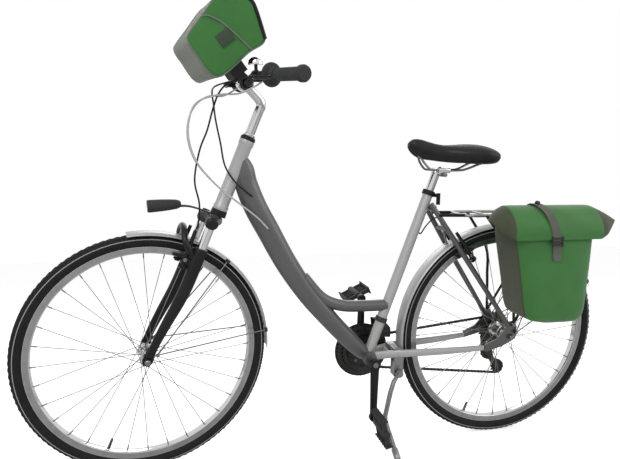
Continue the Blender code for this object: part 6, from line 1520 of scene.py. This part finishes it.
def floor_material():
    """Pale floor that shows as white to the camera except where the shadow lies."""
    made = bpy.data.materials.new("pale_floor")
    made.use_nodes = True
    tree = made.node_tree
    shader = tree.nodes["Principled BSDF"]
    where = add_node(tree, "TexCoord")
    grain = add_node(tree, "TexNoise", {"Vector": where.outputs["Object"], "Scale": 40.0, "Detail": 3.0})
    tone = add_node(tree, "Mix", {0: grain.outputs["Fac"], 6: (0.86, 0.86, 0.86, 1.0),
                                  7: (0.9, 0.9, 0.9, 1.0)}, data_type="RGBA")
    tree.links.new(tone.outputs[2], shader.inputs["Base Color"])
    shader.inputs["Roughness"].default_value = 0.9
    rays = add_node(tree, "LightPath")
    shader.inputs["Emission Color"].default_value = WHITE
    lift = add_node(tree, "Math", {0: rays.outputs["Is Camera Ray"], 1: FLOOR_GLOW}, operation="MULTIPLY")
    tree.links.new(lift.outputs[0], shader.inputs["Emission Strength"])
    return made


def build_floor():
    mesh = bpy.data.meshes.new("floor")
    bm = bmesh.new()
    bmesh.ops.create_grid(bm, x_segments=2, y_segments=2, size=FLOOR_SIZE)
    bm.to_mesh(mesh)
    bm.free()
    mesh.materials.append(floor_material())
    floor = bpy.data.objects.new("floor", mesh)
    bpy.context.scene.collection.objects.link(floor)


def build_world():
    """A white world, which lights the bike less than it shows."""
    world = bpy.data.worlds.new("studio")
    bpy.context.scene.world = world
    world.use_nodes = True
    tree = world.node_tree
    rays = add_node(tree, "LightPath")
    seen = rays.outputs["Is Camera Ray"]
    for kind in ("Is Glossy Ray", "Is Transmission Ray"):
        seen = add_node(tree, "Math", {0: seen, 1: rays.outputs[kind]}, operation="MAXIMUM").outputs[0]
    level = add_node(tree, "MapRange", {"Value": seen, "To Min": WORLD_LIGHT, "To Max": 1.0})
    background = tree.nodes["Background"]
    background.inputs["Color"].default_value = WHITE
    tree.links.new(level.outputs[0], background.inputs["Strength"])


def build_camera():
    """The photo's camera, fitted in the bike's own frame."""
    ahead = Vector((math.sin(CAMERA_YAW) * math.cos(CAMERA_PITCH),
                    math.cos(CAMERA_YAW) * math.cos(CAMERA_PITCH), math.sin(CAMERA_PITCH)))
    level = Vector((math.cos(CAMERA_YAW), -math.sin(CAMERA_YAW), 0.0))
    above = level.cross(ahead)
    right = level * math.cos(CAMERA_ROLL) + above * math.sin(CAMERA_ROLL)
    up = above * math.cos(CAMERA_ROLL) - level * math.sin(CAMERA_ROLL)
    pose = Matrix((right, up, -ahead)).transposed().to_4x4()
    pose.translation = CAMERA_PLACE
    data = bpy.data.cameras.new("view")
    data.sensor_width, data.lens = SENSOR, SENSOR * FOCAL_PIXELS / PHOTO_WIDTH
    camera = bpy.data.objects.new("view", data)
    camera.matrix_world = BIKE @ pose
    bpy.context.scene.collection.objects.link(camera)
    bpy.context.scene.camera = camera


def build_stage():
    build_floor()
    build_world()
    for settings in LAMPS:
        area_light(*settings)
    build_camera()
    bpy.context.scene.view_settings.view_transform = "Standard"


class BIKE_OT_wheels(bpy.types.Operator):
    """Build both wheels with their tyres, rims, spokes, hubs and axles"""
    bl_idname = "bike.wheels"
    bl_label = "Wheels"

    def execute(self, context):
        build_wheels(context.scene.bike_sizes)
        return {"FINISHED"}


class BIKE_OT_drive(bpy.types.Operator):
    """Build the chain, toothed wheels, cranks, pedals and derailleurs"""
    bl_idname = "bike.drive"
    bl_label = "Drive train"

    def execute(self, context):
        build_drive()
        return {"FINISHED"}


class BIKE_OT_frame(bpy.types.Operator):
    """Build the frame's tubes, stays and head set"""
    bl_idname = "bike.frame"
    bl_label = "Frame"

    def execute(self, context):
        build_frame()
        return {"FINISHED"}


class BIKE_OT_fork(bpy.types.Operator):
    """Build the suspension fork"""
    bl_idname = "bike.fork"
    bl_label = "Fork"

    def execute(self, context):
        build_fork_crown()
        build_fork_legs()
        return {"FINISHED"}


class BIKE_OT_cockpit(bpy.types.Operator):
    """Build the stem, bar, grips, shifters, levers and bell"""
    bl_idname = "bike.cockpit"
    bl_label = "Cockpit"

    def execute(self, context):
        build_cockpit()
        return {"FINISHED"}


class BIKE_OT_lamp(bpy.types.Operator):
    """Build the front lamp and its bracket"""
    bl_idname = "bike.lamp"
    bl_label = "Lamp"

    def execute(self, context):
        build_lamp()
        return {"FINISHED"}


class BIKE_OT_brakes(bpy.types.Operator):
    """Build the four brake arms with their pads"""
    bl_idname = "bike.brakes"
    bl_label = "Brakes"

    def execute(self, context):
        build_brakes()
        return {"FINISHED"}


class BIKE_OT_guards(bpy.types.Operator):
    """Build the mudguards, the rack and the stand"""
    bl_idname = "bike.guards"
    bl_label = "Mudguards and rack"

    def execute(self, context):
        build_mudguards()
        build_rack()
        build_stand()
        return {"FINISHED"}


class BIKE_OT_saddle(bpy.types.Operator):
    """Build the saddle, its rails and the post"""
    bl_idname = "bike.saddle"
    bl_label = "Saddle"

    def execute(self, context):
        build_saddle()
        return {"FINISHED"}


class BIKE_OT_bags(bpy.types.Operator):
    """Build the bar bag and the pannier"""
    bl_idname = "bike.bags"
    bl_label = "Bags"

    def execute(self, context):
        build_bar_bag(context.scene.bike_sizes)
        build_pannier(context.scene.bike_sizes)
        return {"FINISHED"}


class BIKE_OT_cables(bpy.types.Operator):
    """Build the gear and brake housings"""
    bl_idname = "bike.cables"
    bl_label = "Cables"

    def execute(self, context):
        build_cables(context.scene.bike_sizes)
        return {"FINISHED"}


class BIKE_OT_stage(bpy.types.Operator):
    """Set up the floor, the lights and the camera"""
    bl_idname = "bike.stage"
    bl_label = "Stage"

    def execute(self, context):
        build_stage()
        return {"FINISHED"}


STEPS = (BIKE_OT_wheels, BIKE_OT_drive, BIKE_OT_frame, BIKE_OT_fork, BIKE_OT_cockpit, BIKE_OT_lamp,
         BIKE_OT_brakes, BIKE_OT_guards, BIKE_OT_saddle, BIKE_OT_bags, BIKE_OT_cables, BIKE_OT_stage)


class BIKE_PT_build(bpy.types.Panel):
    """The steps that build the bike, in order"""
    bl_idname = "BIKE_PT_build"
    bl_label = "Bike"
    bl_space_type = "VIEW_3D"
    bl_region_type = "UI"
    bl_category = "Bike"

    def draw(self, context):
        for group in (context.scene.bike_sizes, context.scene.bike_colours):
            box = self.layout.box()
            for key in group.bl_rna.properties.keys():
                if key not in ("rna_type", "name"):
                    box.prop(group, key)
        for step in STEPS:
            self.layout.operator(step.bl_idname)


CLASSES = (BikeSizes, BikeColours, *STEPS, BIKE_PT_build)


def register():
    for item in CLASSES:
        bpy.utils.register_class(item)
    bpy.types.Scene.bike_sizes = PointerProperty(type=BikeSizes)
    bpy.types.Scene.bike_colours = PointerProperty(type=BikeColours)


def unregister():
    del bpy.types.Scene.bike_colours
    del bpy.types.Scene.bike_sizes
    for item in reversed(CLASSES):
        bpy.utils.unregister_class(item)


def main():
    register()
    for step in STEPS:
        group, name = step.bl_idname.split(".")
        getattr(getattr(bpy.ops, group), name)()


if __name__ == "__main__":
    main()
